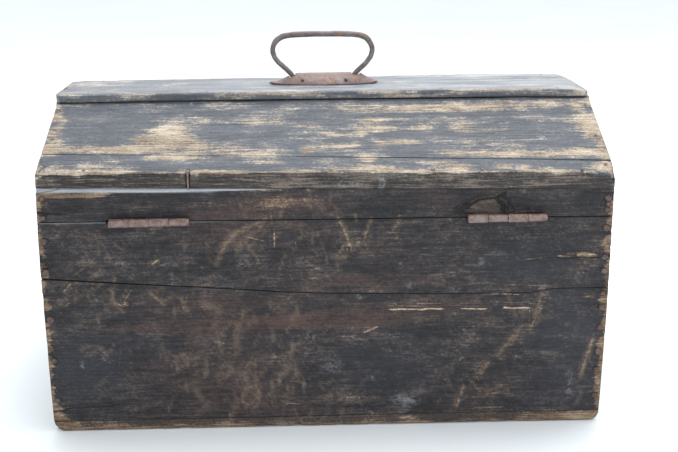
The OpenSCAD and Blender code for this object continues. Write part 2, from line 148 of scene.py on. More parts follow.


# ------------------------------------------------------------------ marks on the faces
# Placed to follow the photograph. Patches are (u, v, half size in u, half size in v,
# strength). Strokes are (u0, v0, u1, v1, width, strength). On the back wall u is X and v is the
# height; on a slope v is the run in from the eaves.

# Bare wood showing on the slopes
SLOPE_WORN = [
    (232, 37, 40, 6, 0.75), (185, 35, 28, 5, 0.85), (158, 51, 31, 9, 1.0), (152, 65, 17, 4, 0.7),
    (125, 37, 42, 8, 0.6), (140, 24, 32, 3.5, 0.7), (150, 84, 42, 6, 0.25), (185, 104, 60, 4, 0.2),
    (200, 22, 12, 5, 0.5), (262, 88, 6, 14, 0.8), (262, 64, 9, 10, 0.8), (263, 40, 8, 10, 0.8),
    (258, 26, 10, 3, 0.6), (70, 78, 34, 5, 0.35), (35, 85, 36, 4, 0.4), (15, 70, 16, 2.5, 0.6),
    (19, 32, 7, 7, 0.85), (75, 27, 26, 2.5, 0.75), (57, 26, 9, 2, 0.6), (52, 15, 14, 3, 0.45),
    (-10, 67, 9, 2.5, 0.5), (-12, 57, 18, 2.5, 0.6), (-35, 57, 5, 5, 0.5), (-15, 41, 12, 4, 0.5),
    (-29, 43, 5, 4, 0.5), (-50, 66, 17, 3, 0.95), (-48, 78, 15, 5, 0.7), (-72, 62, 20, 1.5, 0.6),
    (-47, 40, 8, 9, 0.5), (-57, 42, 7, 9, 0.45), (-74, 45, 13, 4, 0.6), (-20, 96, 27, 7, 0.4),
    (-62, 97, 32, 6, 0.5), (-37, 20, 9, 3.5, 0.8), (-34, 7, 26, 3.5, 0.55), (-56, 5, 14, 3.5, 0.7),
    (0, 15, 11, 7, 0.3), (-140, 99, 46, 8, 0.75), (-212, 101, 34, 6, 0.5), (-130, 78, 52, 7, 0.4),
    (-95, 66, 13, 4, 0.7), (-138, 64, 20, 6, 0.65), (-168, 62, 11, 5, 0.45), (-150, 45, 20, 6, 0.4),
    (-186, 46, 13, 4, 0.5), (-140, 27, 48, 2.5, 0.9), (-178, 29, 9, 3, 0.7), (-206, 26, 13, 4, 0.6),
    (-246, 27, 18, 5, 0.9), (-257, 95, 9, 9, 0.8), (-258, 70, 10, 10, 0.75), (-262, 50, 8, 10, 0.7),
    (-265, 25, 5, 20, 0.8), (-116, 12, 15, 6, 0.6), (-130, 8, 11, 3, 0.5), (-166, 8, 5, 4, 0.7),
    (-187, 8, 7, 3, 0.6), (-252, 9, 9, 3, 0.7), (-245, 80, 12, 6, 0.35),
]
# Paint that has stayed on them
SLOPE_KEPT = [
    (222, 72, 38, 26, 1.1), (200, 90, 60, 16, 0.5), (232, 22, 38, 7, 0.7), (181, 22, 12, 7, 0.9),
    (155, 16, 10, 6, 0.6), (130, 12, 40, 6, 0.6), (106, 60, 22, 12, 0.6), (60, 66, 50, 4, 0.4),
    (24, 15, 10, 8, 0.7), (62, 6, 18, 4, 0.5), (-5, 72, 9, 6, 0.5), (-85, 54, 40, 6, 0.6),
    (-75, 35, 30, 5, 0.5), (-20, 32, 30, 4, 0.4), (-110, 58, 14, 7, 0.4), (-155, 54, 30, 3, 0.6),
    (-192, 62, 12, 9, 0.7), (-225, 62, 14, 16, 0.7), (-215, 43, 40, 6, 0.6), (-235, 88, 22, 6, 0.5),
    (-180, 85, 14, 5, 0.5), (-145, 104, 8, 3, 0.7), (-118, 36, 10, 5, 0.5), (-220, 12, 40, 7, 0.7),
    (-150, 17, 40, 4, 0.5), (-75, 15, 22, 8, 0.4),
]
# Bare wood showing on the hinge side
BACK_WORN = [
    (266, 14, 6, 14, 0.55), (256, 5, 14, 7, 0.5), (268, 42, 3, 9, 0.6), (268, 62, 3, 6, 0.5),
    (268, 88, 4, 6, 0.6), (268, 129, 4, 5, 0.6), (265, 158, 7, 2.5, 0.45), (263, 170, 5, 2.5, 0.6),
    (269, 183, 2, 12, 0.4), (218, 149, 10, 2, 0.75), (104, 121, 8, 4, 0.35), (102, 84, 4, 12, 0.2),
    (230, 237, 32, 1.8, 1.1), (255, 236, 9, 2.5, 0.8), (110, 198, 9, 8, 0.25), (50, 205, 14, 4, 0.3),
    (61, 212, 3, 5, 0.5), (-69, 215, 6, 2, 0.8), (-11, 211, 4, 3, 0.45), (-266, 14, 6, 16, 0.35),
    (262, 6, 14, 8, 0.6), (-246, 171.8, 13, 1.6, 1.3), (-226, 172.2, 8, 1.4, 0.9), (-258, 8, 14, 5, 0.3),
    (-267, 44, 5, 6, 0.7), (-268, 78, 3, 8, 0.6), (-268, 105, 3, 7, 0.5), (-268, 128, 4, 10, 0.6),
    (-268, 152, 4, 8, 0.6), (-268, 186, 3, 8, 0.55), (-246, 171, 9, 1.4, 0.9), (-226, 172, 7, 1.2, 0.7),
    (-198, 169, 9, 1.2, 0.45), (-206, 121, 3, 6, 0.4), (-207, 138, 3, 5, 0.35), (-255, 69, 3, 10, 0.4),
    (-153, 61, 4, 2, 0.5), (50, 27, 8, 4, 0.25), (-40, 14, 5, 5, 0.3), (235, 2, 40, 3, 0.5),
    (-235, 6, 32, 4, 0.45), (55, 227, 45, 6, 0.35), (60, 240, 60, 3, 0.3), (130, 1, 60, 2.5, 0.4),
    (-20, 1, 60, 2, 0.3), (-150, 1, 60, 2, 0.25), (35, 228, 30, 5, 0.22), (70, 222, 20, 4, 0.22),
    (120, 60, 20, 14, 0.1), (85, 30, 26, 16, 0.12), (-160, 25, 22, 12, 0.12), (-155, 38, 14, 8, 0.12),
]
# Hard-edged scratches down to the wood
BACK_SCRATCHES = [
    (249, 144, 243, 150, 1.6, 0.9), (202, 128, 192, 129, 3, 0.8), (196, 129, 187, 142, 1.6, 0.6),
    (168, 140, 157, 129, 1.8, 0.5), (139, 121, 134, 136, 1.8, 0.5), (104, 172, 97, 186, 2.5, 0.35),
    (97, 186, 88, 197, 3, 0.35), (88, 197, 75, 206, 3, 0.35), (75, 206, 58, 212, 2.5, 0.35),
    (166, 168, 160, 173, 1.6, 0.8), (239, 159, 231, 165, 1.2, 0.5), (79, 196, 61, 191, 1.1, 0.8),
    (50, 186, 50, 201, 1.1, 0.8), (30, 181, 30, 190, 1.1, 0.4), (-10, 213, -14, 205, 1.8, 0.7),
    (-14, 205, -22, 182, 1.6, 0.7), (-15, 186, -9, 174, 1.4, 0.4), (-4, 173, -17, 174, 2, 0.5),
    (-41, 212, -35, 193, 1.5, 0.5), (-68, 211, -62, 200, 1.4, 0.35), (-26, 216, -27, 209, 2.4, 0.5),
    (53, 217, 52, 210, 1.5, 0.6), (-35, 97, -47, 102, 2, 0.75), (-127, 17, -133, 38, 1.6, 0.6),
    (-150, 51, -157, 63, 1.8, 0.5), (-145, 56, -150, 64, 1.2, 0.35), (-168, 75, -187, 100, 2, 0.45),
    (-178, 80, -190, 104, 1.6, 0.4), (-196, 97, -206, 120, 2, 0.5), (-200, 112, -208, 142, 1.6, 0.4),
    (-249, 48, -258, 85, 2.4, 0.65), (-143, 41, -150, 32, 1.3, 0.4), (-147, 15, -172, 15, 1.4, 0.55),
    (-150, 27, -176, 33, 1.6, 0.35), (-237, 28, -240, 48, 1.6, 0.3), (-248, 130, -255, 130, 2.2, 0.9),
    (-122, 56, -123, 63, 1.2, 0.4), (-60, 120, -109, 119.5, 1.2, 1.9), (-128, 119.5, -152, 119, 1.1, 1.3),
    (-170, 119.5, -193, 119.2, 1.3, 1.9), (-151, 134.3, -183, 133.2, 1.2, 1.1),
    (-190, 168.5, -206, 170, 1.3, 0.6), (-219, 172, -232, 171, 1.4, 0.8), (-238, 172, -255, 172, 1.8, 0.9),
    (-171, 143, -184, 143, 1.4, 0.6), (-187, 143, -204, 142, 1.1, 0.35), (42, 24, 29, 23, 1.3, 0.7),
    (39, 47, 29, 47, 1, 0.5), (97, 5, 98, 16, 1.4, 0.5), (81, 62, 74, 73, 1.2, 0.35),
    (203, 65, 200, 82, 1, 0.25), (136, 66, 138, 88, 1, 0.25), (-232, 78, -240, 79, 1.1, 0.4),
    (-52, 148, -48, 144, 1.6, 0.35), (126, 60, 112, 66, 0.9, 0.3), (250, 128, 246, 131, 1.4, 0.5),
]
# Cracks: along the grain, at the corners and round the knot
BACK_CRACKS = [
    (270, 20.8, 250, 23.3, 1.4, 0.9), (250, 23.3, 206, 26, 1.0, 0.8), (206, 26, 186, 27.3, 0.8, 0.5),
    (270, 220, 247, 219, 1.6, 1.0), (247, 219, 228, 221, 0.9, 0.4), (250, 240, 270, 236, 1.2, 0.4),
    (-190, 167.5, -220, 170, 0.8, 0.5), (-220, 170, -250, 169.6, 1.1, 0.8),
    (-250, 169.6, -270, 170, 1.4, 1.0), (-121, 217.5, -127, 221, 2.6, 1.2),
    (-127, 221, -134, 224.5, 4.0, 1.3), (-134, 224.5, -143, 229, 2.0, 1.0),
    (-143, 229, -157, 231.5, 1.6, 1.0), (-157, 231.5, -166, 236, 2.0, 1.0),
    (-159, 230, -165, 224, 2.6, 1.0), (-165, 224, -166, 216, 3.2, 1.1), (-162, 233, -172, 229, 1.6, 0.8),
    (-170, 227, -176, 220, 1.6, 0.7), (-176, 215, -200, 216, 1.3, 0.6), (-124, 216, -136, 214, 1.8, 0.7),
    (-113, 205, -128, 211.5, 1.1, 0.6), (-240, 237.5, -270, 236.2, 1.0, 0.5),
    (-107, 201, -112, 210, 0.8, 0.3),
]
# Soft rub marks; the width is half of it here
BACK_SMEARS = [
    (105, 168, 97, 187, 2.4, 0.55), (97, 187, 88, 197, 3.0, 0.65), (88, 197, 74, 206, 3.0, 0.6),
    (74, 206, 58, 211, 2.2, 0.5), (44, 207, 26, 206, 4.0, 0.35), (-10, 213, -15, 204, 1.6, 0.75),
    (-15, 204, -22, 184, 1.5, 0.85), (-17, 186, -9, 175, 1.3, 0.55), (-5, 173, -17, 174, 2.4, 0.5),
    (-41, 212, -35, 196, 1.4, 0.6), (-68, 211, -62, 201, 1.6, 0.5), (205, 133, 196, 122, 2.0, 0.6),
    (168, 140, 157, 129, 1.6, 0.6), (140, 135, 134, 121, 1.8, 0.6), (118, 128, 104, 120, 4.0, 0.5),
    (88, 104, 88, 82, 3.2, 0.5), (54, 100, 54, 88, 1.8, 0.5), (108, 100, 104, 82, 1.6, 0.5),
    (80, 64, 70, 70, 1.8, 0.55), (70, 70, 56, 66, 1.6, 0.45), (97, 66, 92, 58, 2.0, 0.5),
    (-166, 72, -186, 96, 2.0, 0.5), (-196, 97, -207, 112, 2.0, 0.5), (-148, 52, -158, 64, 1.8, 0.6),
    (-126, 18, -133, 38, 1.5, 0.8), (-200, 112, -208, 142, 2.2, 0.4), (-140, 44, -146, 36, 1.2, 0.5),
    (-146, 36, -160, 33, 1.3, 0.5), (-160, 33, -170, 38, 1.1, 0.45), (-249, 48, -258, 85, 2.2, 0.75),
    (108, 157, 114, 148, 1.8, 0.4), (243, 147, 249, 141, 1.4, 0.6), (166, 168, 160, 173, 1.4, 0.7),
    (-138, 222, -158, 229, 5.0, 0.45), (-140, 218, -160, 220, 3.0, 0.35), (-172, 138, -176, 124, 2.2, 0.3),
    (130, 40, 122, 26, 2.4, 0.4), (92, 22, 98, 6, 2.0, 0.5),
]
# Zones of short rubs: (u, v, half size in u, half size in v, how many, strength)
BACK_RUBS = [
    (95, 70, 70, 50, 100, 0.55), (120, 110, 120, 90, 60, 0.45), (225, 130, 30, 30, 20, 0.55),
    (30, 190, 60, 24, 26, 0.45), (40, 35, 60, 28, 50, 0.50), (-150, 60, 50, 50, 22, 0.36),
    (-215, 135, 40, 26, 16, 0.40), (-60, 60, 60, 50, 8, 0.30), (-90, 190, 60, 20, 10, 0.30),
    (-238, 60, 20, 40, 10, 0.36), (150, 190, 90, 20, 16, 0.40), (40, 225, 60, 8, 20, 0.45),
]
# Pale dust and flecks
BACK_DUST = [
    (195, 170, 4, 2.5, 0.8), (81, 169, 4, 3.5, 0.8), (18, 93, 5, 4, 0.5), (-3, 62, 8, 6, 0.45),
    (-75, 24, 11, 6, 0.75), (-73, 13, 4, 2, 0.4), (-238, 35, 5, 16, 0.3), (151, 169, 10, 1.5, 0.4),
    (216, 75, 1.6, 2, 1.2), (237, 68, 1.5, 3, 1.0), (-30, 134, 1.4, 2.2, 1.4), (-184, 239, 1.4, 1.6, 1.5),
    (-130, 67, 1.5, 1.6, 0.9), (22, 43, 1.3, 1.5, 0.9), (-43, 49, 2, 1.3, 0.7), (-184, 69, 2, 1.4, 0.6),
    (147, 157, 2, 4, 0.4), (50, 3, 1.5, 2, 1.0), (-67, 166, 1.2, 1.2, 0.9), (-147, 167, 3, 4, 0.35),
    (-78, 145, 4, 3, 0.35), (-123, 139, 5, 2, 0.3), (-20, 245, 14, 3, 0.45), (-51, 248, 2.5, 8, 0.9),
    (-135, 246, 2, 4, 0.5), (-114, 251, 1.5, 3, 0.6), (-62, 256, 12, 3, 0.5),
]
# Where the paint shows the reddish wood below it (more than 0) or looks bluer (less than 0)
BACK_TONE = [
    (150, 104, 50, 6, 0.8), (75, 108, 42, 8, 1.0), (10, 109, 50, 8, 1.0), (-45, 114, 45, 9, 0.7),
    (-10, 148, 40, 6, 0.6), (-60, 152, 40, 6, 0.5), (-110, 122, 50, 10, 0.35), (60, 130, 60, 8, 0.35),
    (45, 226, 45, 7, 0.9), (100, 215, 40, 8, 0.6), (-105, 230, 22, 5, 0.7), (105, 196, 30, 9, 0.6),
    (120, 60, 60, 30, 0.35), (80, 30, 60, 24, 0.45), (130, 125, 60, 14, 0.4), (30, 200, 50, 10, 0.25),
    (-50, 175, 30, 12, 0.25), (-170, 40, 40, 26, 0.25), (235, 60, 34, 34, -0.8), (-235, 95, 30, 36, -0.9),
    (-190, 160, 50, 22, -0.6), (-60, 60, 60, 30, -0.5), (-225, 30, 40, 26, -0.6), (170, 88, 30, 12, -0.5),
]


def spread(points, patches, seed, blur=6.0):
    """Adds up patches over points (u, v), with ragged outlines."""
    flat = np.column_stack([points, np.zeros(len(points))])
    u = points[:, 0] + (noise(flat, (26, 8, 1), seed) - 0.5) * 2.6 * blur
    v = points[:, 1] + (noise(flat, (30, 7, 1), seed + 5) - 0.5) * 1.1 * blur
    total = np.zeros(len(points))
    for pu, pv, half_u, half_v, amount in patches:
        reach = np.hypot((u - pu) / half_u, (v - pv) / half_v)
        total += amount * (1 - smooth(reach, 0.3, 1.75))
    return total


def draw(points, strokes, seed, wander=1.2):
    """Signed distance to the nearest stroke, in its half widths, and that stroke's strength."""
    flat = np.column_stack([points, np.zeros(len(points))])
    u = points[:, 0]
    v = points[:, 1] + (noise(flat, (9, 9, 1), seed, 2) - 0.5) * wander
    nearest = np.full(len(points), 1e3)
    across, strength = np.full(len(points), 9.0), np.zeros(len(points))
    for u0, v0, u1, v1, width, amount in strokes:
        length = math.hypot(u1 - u0, v1 - v0)
        du, dv = (u1 - u0) / length, (v1 - v0) / length
        along = (u - u0) * du + (v - v0) * dv
        off = (v - v0) * du - (u - u0) * dv
        past = np.maximum(np.maximum(-along, along - length), 0)
        reach = np.hypot(off, past)
        closer = (reach < nearest) & (reach < 5)
        nearest[closer] = reach[closer]
        across[closer] = off[closer] / (width / 2)
        strength[closer] = amount * (1 - smooth(past[closer], 0, 2.5))
    return across, strength


def rub(points, zones, seed):
    """Many short, soft, slanting rubs. A zone is (u, v, half size in u and v, how many, strength)."""
    rng = np.random.default_rng(seed)
    total = np.zeros(len(points))
    for zone_u, zone_v, half_u, half_v, count, strength in zones:
        for _ in range(count):
            middle = np.array([zone_u + half_u * rng.uniform(-1, 1), zone_v + half_v * rng.uniform(-1, 1)])
            angle = rng.normal(2.05, 0.45)
            along = np.array([math.cos(angle), math.sin(angle)])
            length, width = rng.uniform(2.5, 10), rng.uniform(0.5, 1.5)
            gap = points - middle
            u, v = gap @ along, gap @ np.array([-along[1], along[0]])
            v = v + u * u * rng.normal(0, 0.012)
            total += strength * rng.uniform(0.4, 1.2) * np.exp(-((u / length) ** 4) - (v / width) ** 2)
    return total


def smear(points, strokes):
    """Soft rub marks along strokes of (u0, v0, u1, v1, half width, strength)."""
    total = np.zeros(len(points))
    for u0, v0, u1, v1, width, amount in strokes:
        length = math.hypot(u1 - u0, v1 - v0)
        along = ((points[:, 0] - u0) * (u1 - u0) + (points[:, 1] - v0) * (v1 - v0)) / length
        off = ((points[:, 1] - v0) * (u1 - u0) - (points[:, 0] - u0) * (v1 - v0)) / length
        past = np.maximum(np.maximum(-along, along - length), 0)
        total = np.maximum(total, amount * np.exp(-((off / width) ** 2) - (past / width) ** 2))
    return total


# ------------------------------------------------------------------ board meshes


EDGE_SPACING = np.array([0, 0.08, 0.22, 0.42, 0.7, 1.0])


def lines(low, high, step, edge=3.0, extra=()):
    """Grid lines from low to high: close together at both ends, and at each extra value."""
    near = EDGE_SPACING * min(edge, (high - low) / 3)
    count = max(1, round((high - low - 2 * near[-1]) / step))
    middle = np.linspace(low + near[-1], high - near[-1], count + 1)
    values = np.concatenate([low + near, middle, high - near, [e for e in extra if low < e < high]])
    values = np.unique(values.round(4))
    keep = np.concatenate([[True], np.diff(values) > 0.02])
    return values[keep]


def skin(xs, ys, zs, hollow=None):
    """The closed surface of a block cut into cells by grid lines, without its hollow cells."""
    shape = (len(xs) - 1, len(ys) - 1, len(zs) - 1)
    solid = np.ones(shape, bool)
    if hollow is not None:
        mid = [(a[1:] + a[:-1]) / 2 for a in (xs, ys, zs)]
        solid &= ~hollow(*np.meshgrid(*mid, indexing="ij"))
    padded = np.pad(solid, 1)
    counts = np.array([len(xs), len(ys), len(zs)])
    quads = []
    for axis in range(3):
        for up in (False, True):
            shift = [1, 1, 1]
            shift[axis] += 1 if up else -1
            beside = padded[tuple(slice(s, s + n) for s, n in zip(shift, shape))]
            cell = np.argwhere(solid & ~beside)
            corner = cell.copy()
            corner[:, axis] += 1 if up else 0
            b, c = [(1, 2), (2, 0), (0, 1)][axis]
            steps = [(0, 0), (1, 0), (1, 1), (0, 1)]
            ring = []
            for sb, sc in steps if up else steps[::-1]:
                at = corner.copy()
                at[:, b] += sb
                at[:, c] += sc
                ring.append((at[:, 0] * counts[1] + at[:, 1]) * counts[2] + at[:, 2])
            quads.append(np.stack(ring, 1))
    quads = np.concatenate(quads)
    used, quads = np.unique(quads, return_inverse=True)
    quads = quads.reshape(-1, 4)
    i, rest = np.divmod(used, counts[1] * counts[2])
    j, k = np.divmod(rest, counts[2])
    return np.column_stack([xs[i], ys[j], zs[k]]), quads


def round_edges(points, low, high, radius):
    """Rounds the block's outer edges; radius is given for each point."""
    r = np.minimum(radius[:, None], (high - low).min() / 2.05)
    core = np.clip(points, low + r, high - r)
    off = points - core
    length = np.linalg.norm(off, axis=1, keepdims=True)
    outer = ((points <= low + 1e-6) | (points >= high - 1e-6)).any(1, keepdims=True)
    return np.where(outer, core + off * (r / np.maximum(length, 1e-9)), points)


def point_normals(points, quads):
    """Unit normals at the points, weighted by the faces' areas."""
    a, b, c, d = (points[quads[:, i]] for i in range(4))
    flat = np.cross(c - a, d - b)
    total = np.zeros_like(points)
    for i in range(4):
        np.add.at(total, quads[:, i], flat)
    return total / np.maximum(np.linalg.norm(total, axis=1, keepdims=True), 1e-12)


def make_mesh(name, points, quads, attributes=(), smooth_faces=True):
    """A mesh object from points in millimetres. quads may be an array, or a list of any faces."""
    mesh = bpy.data.meshes.new(name)
    faces = quads.tolist() if isinstance(quads, np.ndarray) else quads
    mesh.from_pydata((np.asarray(points) * MM).tolist(), [], faces)
    mesh.update()
    for key, values in dict(attributes).items():
        values = np.asarray(values, np.float32)
        if values.ndim == 2:
            mesh.attributes.new(key, "FLOAT_VECTOR", "POINT").data.foreach_set("vector", values.ravel())
        else:
            mesh.attributes.new(key, "FLOAT", "POINT").data.foreach_set("value", values)
    mesh.polygons.foreach_set("use_smooth", [smooth_faces] * len(mesh.polygons))
    obj = bpy.data.objects.new(name, mesh)
    bpy.context.scene.collection.objects.link(obj)
    return obj


# ------------------------------------------------------------------ the old box's lean
# Each pair of tuples is a curve: the places, then how far the old box strays there from its drawing.

# Past its drawn width at its right and left ends, by height
SPREAD_Z = (0, 40, 110, 160, 205, 240, 257, 302, 305)
SPREAD_RIGHT = (1.2, 1.9, 2.4, 2.9, 2.5, 1.3, 0.2, 0.4, 2.0)
SPREAD_LEFT = (-1.2, -0.2, 1.1, 1.3, 1.1, 1.2, 0.8, 0.6, 1.9)
# Down, along the foot and along the seam under the lid
FOOT_X, FOOT_DROP = (-270, -100, 0, 100, 270), (0.1, 0.4, 0.9, 1.5, 2.3)
SEAM_X, SEAM_DROP = (-270, -240, -120, 110, 190, 270), (1.6, 1.5, 0.5, 0.9, 0.5, 0.4)
# Up, along the lid's crown, and more at its front edge
CROWN_LIFT_X, CROWN_LIFT = (-270, -200, -100, 0, 100, 200, 270), (1.4, 2.0, 1.9, 1.7, 1.5, 0.9, 0.3)
REAR_LIFT_X, REAR_LIFT = (-270, -230, -120, -60, 0, 270), (1.0, 1.8, 1.8, 0.7, 0.3, 0.0)
# Up to the right, at the lid's foot, the rail's top and the eaves
RAIL_RISE = (0, 3.6, 2.6)
REAR_RUN = 49  # how far from the middle the rear lift is full: about half the top board
FOOT_FADE, SEAM_FADE = 90, 16  # heights over which the foot's and the seam's drop fade out
HEEL_LEFT, HEEL_RIGHT, HEEL_RUN = 8.0, 12.0, 22  # the foot's worn corners: radii, and how far they run in


def case_lean(points):
    """Spreads the box sideways, lets its foot and the seam below the lid sag, and rounds its heels."""
    x, y, z = points.T
    spread_by = np.where(x > 0, np.interp(z, SPREAD_Z, SPREAD_RIGHT), np.interp(z, SPREAD_Z, SPREAD_LEFT))
    sag = np.interp(x, SEAM_X, SEAM_DROP)
    sag = sag * np.exp(-(((z - CASE_TOP) / SEAM_FADE) ** 2)) * np.clip(y / HALF_D, 0, 1)
    sag = sag + np.interp(x, FOOT_X, FOOT_DROP) * (1 - smooth(z, 0, FOOT_FADE))
    heel = np.where(x > 0, HEEL_RIGHT, HEEL_LEFT)
    cut = heel - np.sqrt(np.clip(heel**2 - np.clip(heel - z, 0, heel) ** 2, 0, None))
    cut = cut * np.clip((np.abs(x) - HALF_L + HEEL_RUN) / HEEL_RUN, 0, 1) ** 2
    return np.column_stack([x + spread_by * x / HALF_L - cut * np.sign(x), y, z - sag])


def lid_lean(points):
    """The old lid's boards aren't parallel: the rail and the eaves rise to the right."""
    out = case_lean(points)
    x, y, z = points.T
    rise = np.interp(z, [LID_FOOT, RAIL_TOP, EAVES_Z], RAIL_RISE) * x / HALF_L
    crown = np.clip((z - EAVES_Z) / (CROWN_Z - EAVES_Z), 0, 1)
    far_side = np.interp(x, REAR_LIFT_X, REAR_LIFT) * np.clip(-y / REAR_RUN, 0, 1)
    out[:, 2] += rise * (1 - crown) + crown * (np.interp(x, CROWN_LIFT_X, CROWN_LIFT) + far_side)
    return out


# ------------------------------------------------------------------ boards

STEP = 2.6  # spacing of a board's points
SEEDS = itertools.count(11, 7)  # one for each board, in the order in which they are made


class Board:
    """One wooden board, from the box of its CAD node to a finished, weathered mesh.

    edge is the usual radius of its edges, and thin scales it from place to place. joints are its
    sides (axis, 0 low or 1 high) against other boards, whose edges stay sharp. extra gives grid
    lines for each axis, hollow the cells left out, and shape bends the finished block. low and high
    replace the CAD box where the board is made as a straight block and then bent.
    """

    def __init__(self, node, body, slot, edge=2.2, grain="x", joints=(), extra=((), (), ()),
                 shape=None, hollow=None, low=None, high=None, thin=None):
        self.node, self.body, self.slot, self.seed = node, body, slot, next(SEEDS)
        cad_low, cad_high = cad(node)
        low = cad_low if low is None else np.array(low, float)
        high = cad_high if high is None else np.array(high, float)
        self.grain = grain
        thick = np.argmin(high - low)
        spans = [lines(low[a], high[a], STEP * (1.6 if a == thick else 1.0), edge * 1.6, extra[a])
                 for a in range(3)]
        block, self.quads = skin(*spans, hollow)
        wobble = noise(block, (38, 20, 20), self.seed)
        radius = edge * (0.35 + 1.1 * wobble)
        if thin is not None:
            radius = radius * thin(block)
        for axis, end in joints:
            limit = (low, high)[end][axis]
            close = 1 - smooth(np.abs(block[:, axis] - limit), 0, edge * 1.6)
            radius = radius * (1 - 0.9 * close)
        # Distance from the nearest outer edge, and from the nearest joint with another board
        gaps, joint_gaps = [], []
        for axis, end in itertools.product(range(3), (0, 1)):
            gap = np.abs(block[:, axis] - (low, high)[end][axis])
            (joint_gaps if (axis, end) in joints else gaps).append(gap)
        self.edge_gap = np.sort(np.array(gaps), axis=0)[1]
        self.joint_gap = np.min(joint_gaps, axis=0) if joint_gaps else np.full(len(block), 99.0)
        points = round_edges(block, low, high, radius)
        self.points = points if shape is None else shape(points)
        a, b, c, d = (self.points[self.quads[:, i]] for i in range(4))
        if (np.cross(c - a, d - b) * a).sum() < 0:
            self.quads = self.quads[:, ::-1]

    def finish(self, lean, paint, relief=0.35):
        """Adds relief and the attributes that paint sets, leans the board, and makes the object."""
        points = self.points
        normal = point_normals(points, self.quads)
        scale = {"x": (70, 9, 9), "y": (9, 70, 9)}[self.grain]
        swell = noise(points, scale, self.seed + 1, 3)
        nicks = smooth(noise(points, (14, 9, 9), self.seed + 2, 2), 0.62, 0.9)
        near_edge = 1 - smooth(self.edge_gap, 0, 5)
        depth = relief * swell + 1.5 * nicks * near_edge
        points = points - normal * depth[:, None]
        fields = {key: np.zeros(len(points)) for key in
                  ("wear", "bare", "tone", "dust", "pale", "eaves", "rub", "mark_on", "crack_on")}
        fields["mark"] = np.full(len(points), 9.0)
        fields["crack"] = np.full(len(points), 9.0)
        fields["dirt"] = 0.8 * (1 - smooth(self.joint_gap, 0.05, 0.7))
        edge_noise = smooth(noise(points, (22, 9, 9), self.seed + 3, 3), 0.3, 0.75)
        fields["wear"] += (1 - smooth(self.edge_gap, 0.2, 1.2 + 6 * edge_noise)) * (0.1 + 0.75 * edge_noise)
        moved = paint(self, points, normal, fields)
        points = lean(points if moved is None else moved)
        along = points if self.grain == "x" else points[:, [1, 0, 2]]
        fields["grain"] = along + np.array([37.0, 11.0, 5.0]) * self.seed
        obj = make_mesh("wood_" + self.node, points, self.quads, fields)
        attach(obj, self.body)
        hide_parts(self.node)
        obj.data.materials.append(WOOD[self.slot])


def facing(normal, direction, low=0.35, high=0.75):
    """1 where a surface faces the direction, 0 where it faces away."""
    return smooth(normal @ np.array(direction, float), low, high)


# ------------------------------------------------------------------ materials


class Graph:
    """Short names for building a node material."""

    def __init__(self, name):
        self.material = bpy.data.materials.new(name)
        self.material.use_nodes = True
        self.tree = self.material.node_tree
        self.tree.nodes.clear()

    def node(self, kind, inputs=None, **settings):
        """A shader node; each input is another node's socket or a constant."""
        made = self.tree.nodes.new("ShaderNode" + kind)
        for key, value in settings.items():
            setattr(made, key, value)
        for key, value in (inputs or {}).items():
            if isinstance(value, bpy.types.NodeSocket):
                self.tree.links.new(value, made.inputs[key])
            else:
                made.inputs[key].default_value = value
        return made

    def attribute(self, name, output="Fac"):
        return self.node("Attribute", attribute_name=name).outputs[output]

    def math(self, operation, a, b=0.0, c=0.0, clamp=False):
        return self.node("Math", {0: a, 1: b, 2: c}, operation=operation, use_clamp=clamp).outputs[0]

    def step(self, value, low, high, to_low=0.0, to_high=1.0):
        """A smooth rise from to_low at low to to_high at high."""
        inputs = {"Value": value, "From Min": low, "From Max": high, "To Min": to_low, "To Max": to_high}
        return self.node("MapRange", inputs, interpolation_type="SMOOTHSTEP").outputs[0]

    def mix(self, share, a, b):
        made = self.node("Mix", data_type="RGBA", blend_type="MIX")
        for socket, value in ((made.inputs[0], share), (made.inputs[6], a), (made.inputs[7], b)):
            if isinstance(value, bpy.types.NodeSocket):
                self.tree.links.new(value, socket)
            elif isinstance(value, (tuple, list)):
                socket.default_value = (*value, 1.0)
            else:
                socket.default_value = value
        return made.outputs[2]

    def ramp(self, value, stops):
        made = self.node("ValToRGB", {0: value})
        elements = made.color_ramp.elements
        while len(elements) < len(stops):
            elements.new(0.5)
        for element, (place, color) in zip(elements, stops):
            element.position = place
            element.color = (*color, 1.0)
        return made.outputs[0]

    def blend(self, start, *parts):
        """start, plus each noise's departure from its middle times its weight."""
        total = self.math("ADD", start - 0.5 * sum(w for _, w in parts), 0.0)
        for value, weight in parts:
            total = self.math("MULTIPLY_ADD", value, weight, total)
        return total

    def stretched(self, vector, scale, detail=4.0, rough=0.55, distortion=0.0):
        """Noise whose features are 1/scale long on each axis of vector."""
        at = self.node("VectorMath", {0: vector, 1: scale}, operation="MULTIPLY").outputs[0]
        inputs = {"Vector": at, "Scale": 1.0, "Detail": detail, "Roughness": rough,
                  "Distortion": distortion}
        return self.node("TexNoise", inputs, noise_dimensions="3D").outputs[0]

    def finish(self, color, roughness, height=None, distance=0.0006, **sockets):
        inputs = {"Base Color": color, "Roughness": roughness}
        if height is not None:
            bump = self.node("Bump", {"Strength": 1.0, "Distance": distance, "Height": height})
            inputs["Normal"] = bump.outputs[0]
        shader = self.node("BsdfPrincipled", inputs)
        for key, value in sockets.items():
            shader.inputs[key].default_value = value
        output = self.node("OutputMaterial")
        self.tree.links.new(shader.outputs[0], output.inputs[0])
        return self.material


REDDISH, BLUISH, RUBBED = (0.084, 0.050, 0.043), (0.028, 0.034, 0.048), (0.190, 0.138, 0.102)
# Second row: dust; the near black of dirt, cracks and painted shade; the pale cover of weathered bloom and of
# painted highlights and sheen
DUST, SOOT_AND_SHADE, SHEEN_AND_BLOOM = (0.33, 0.34, 0.35), (0.010, 0.009, 0.008), ((0.40, 0.44, 0.50), (0.56, 0.59, 0.63))

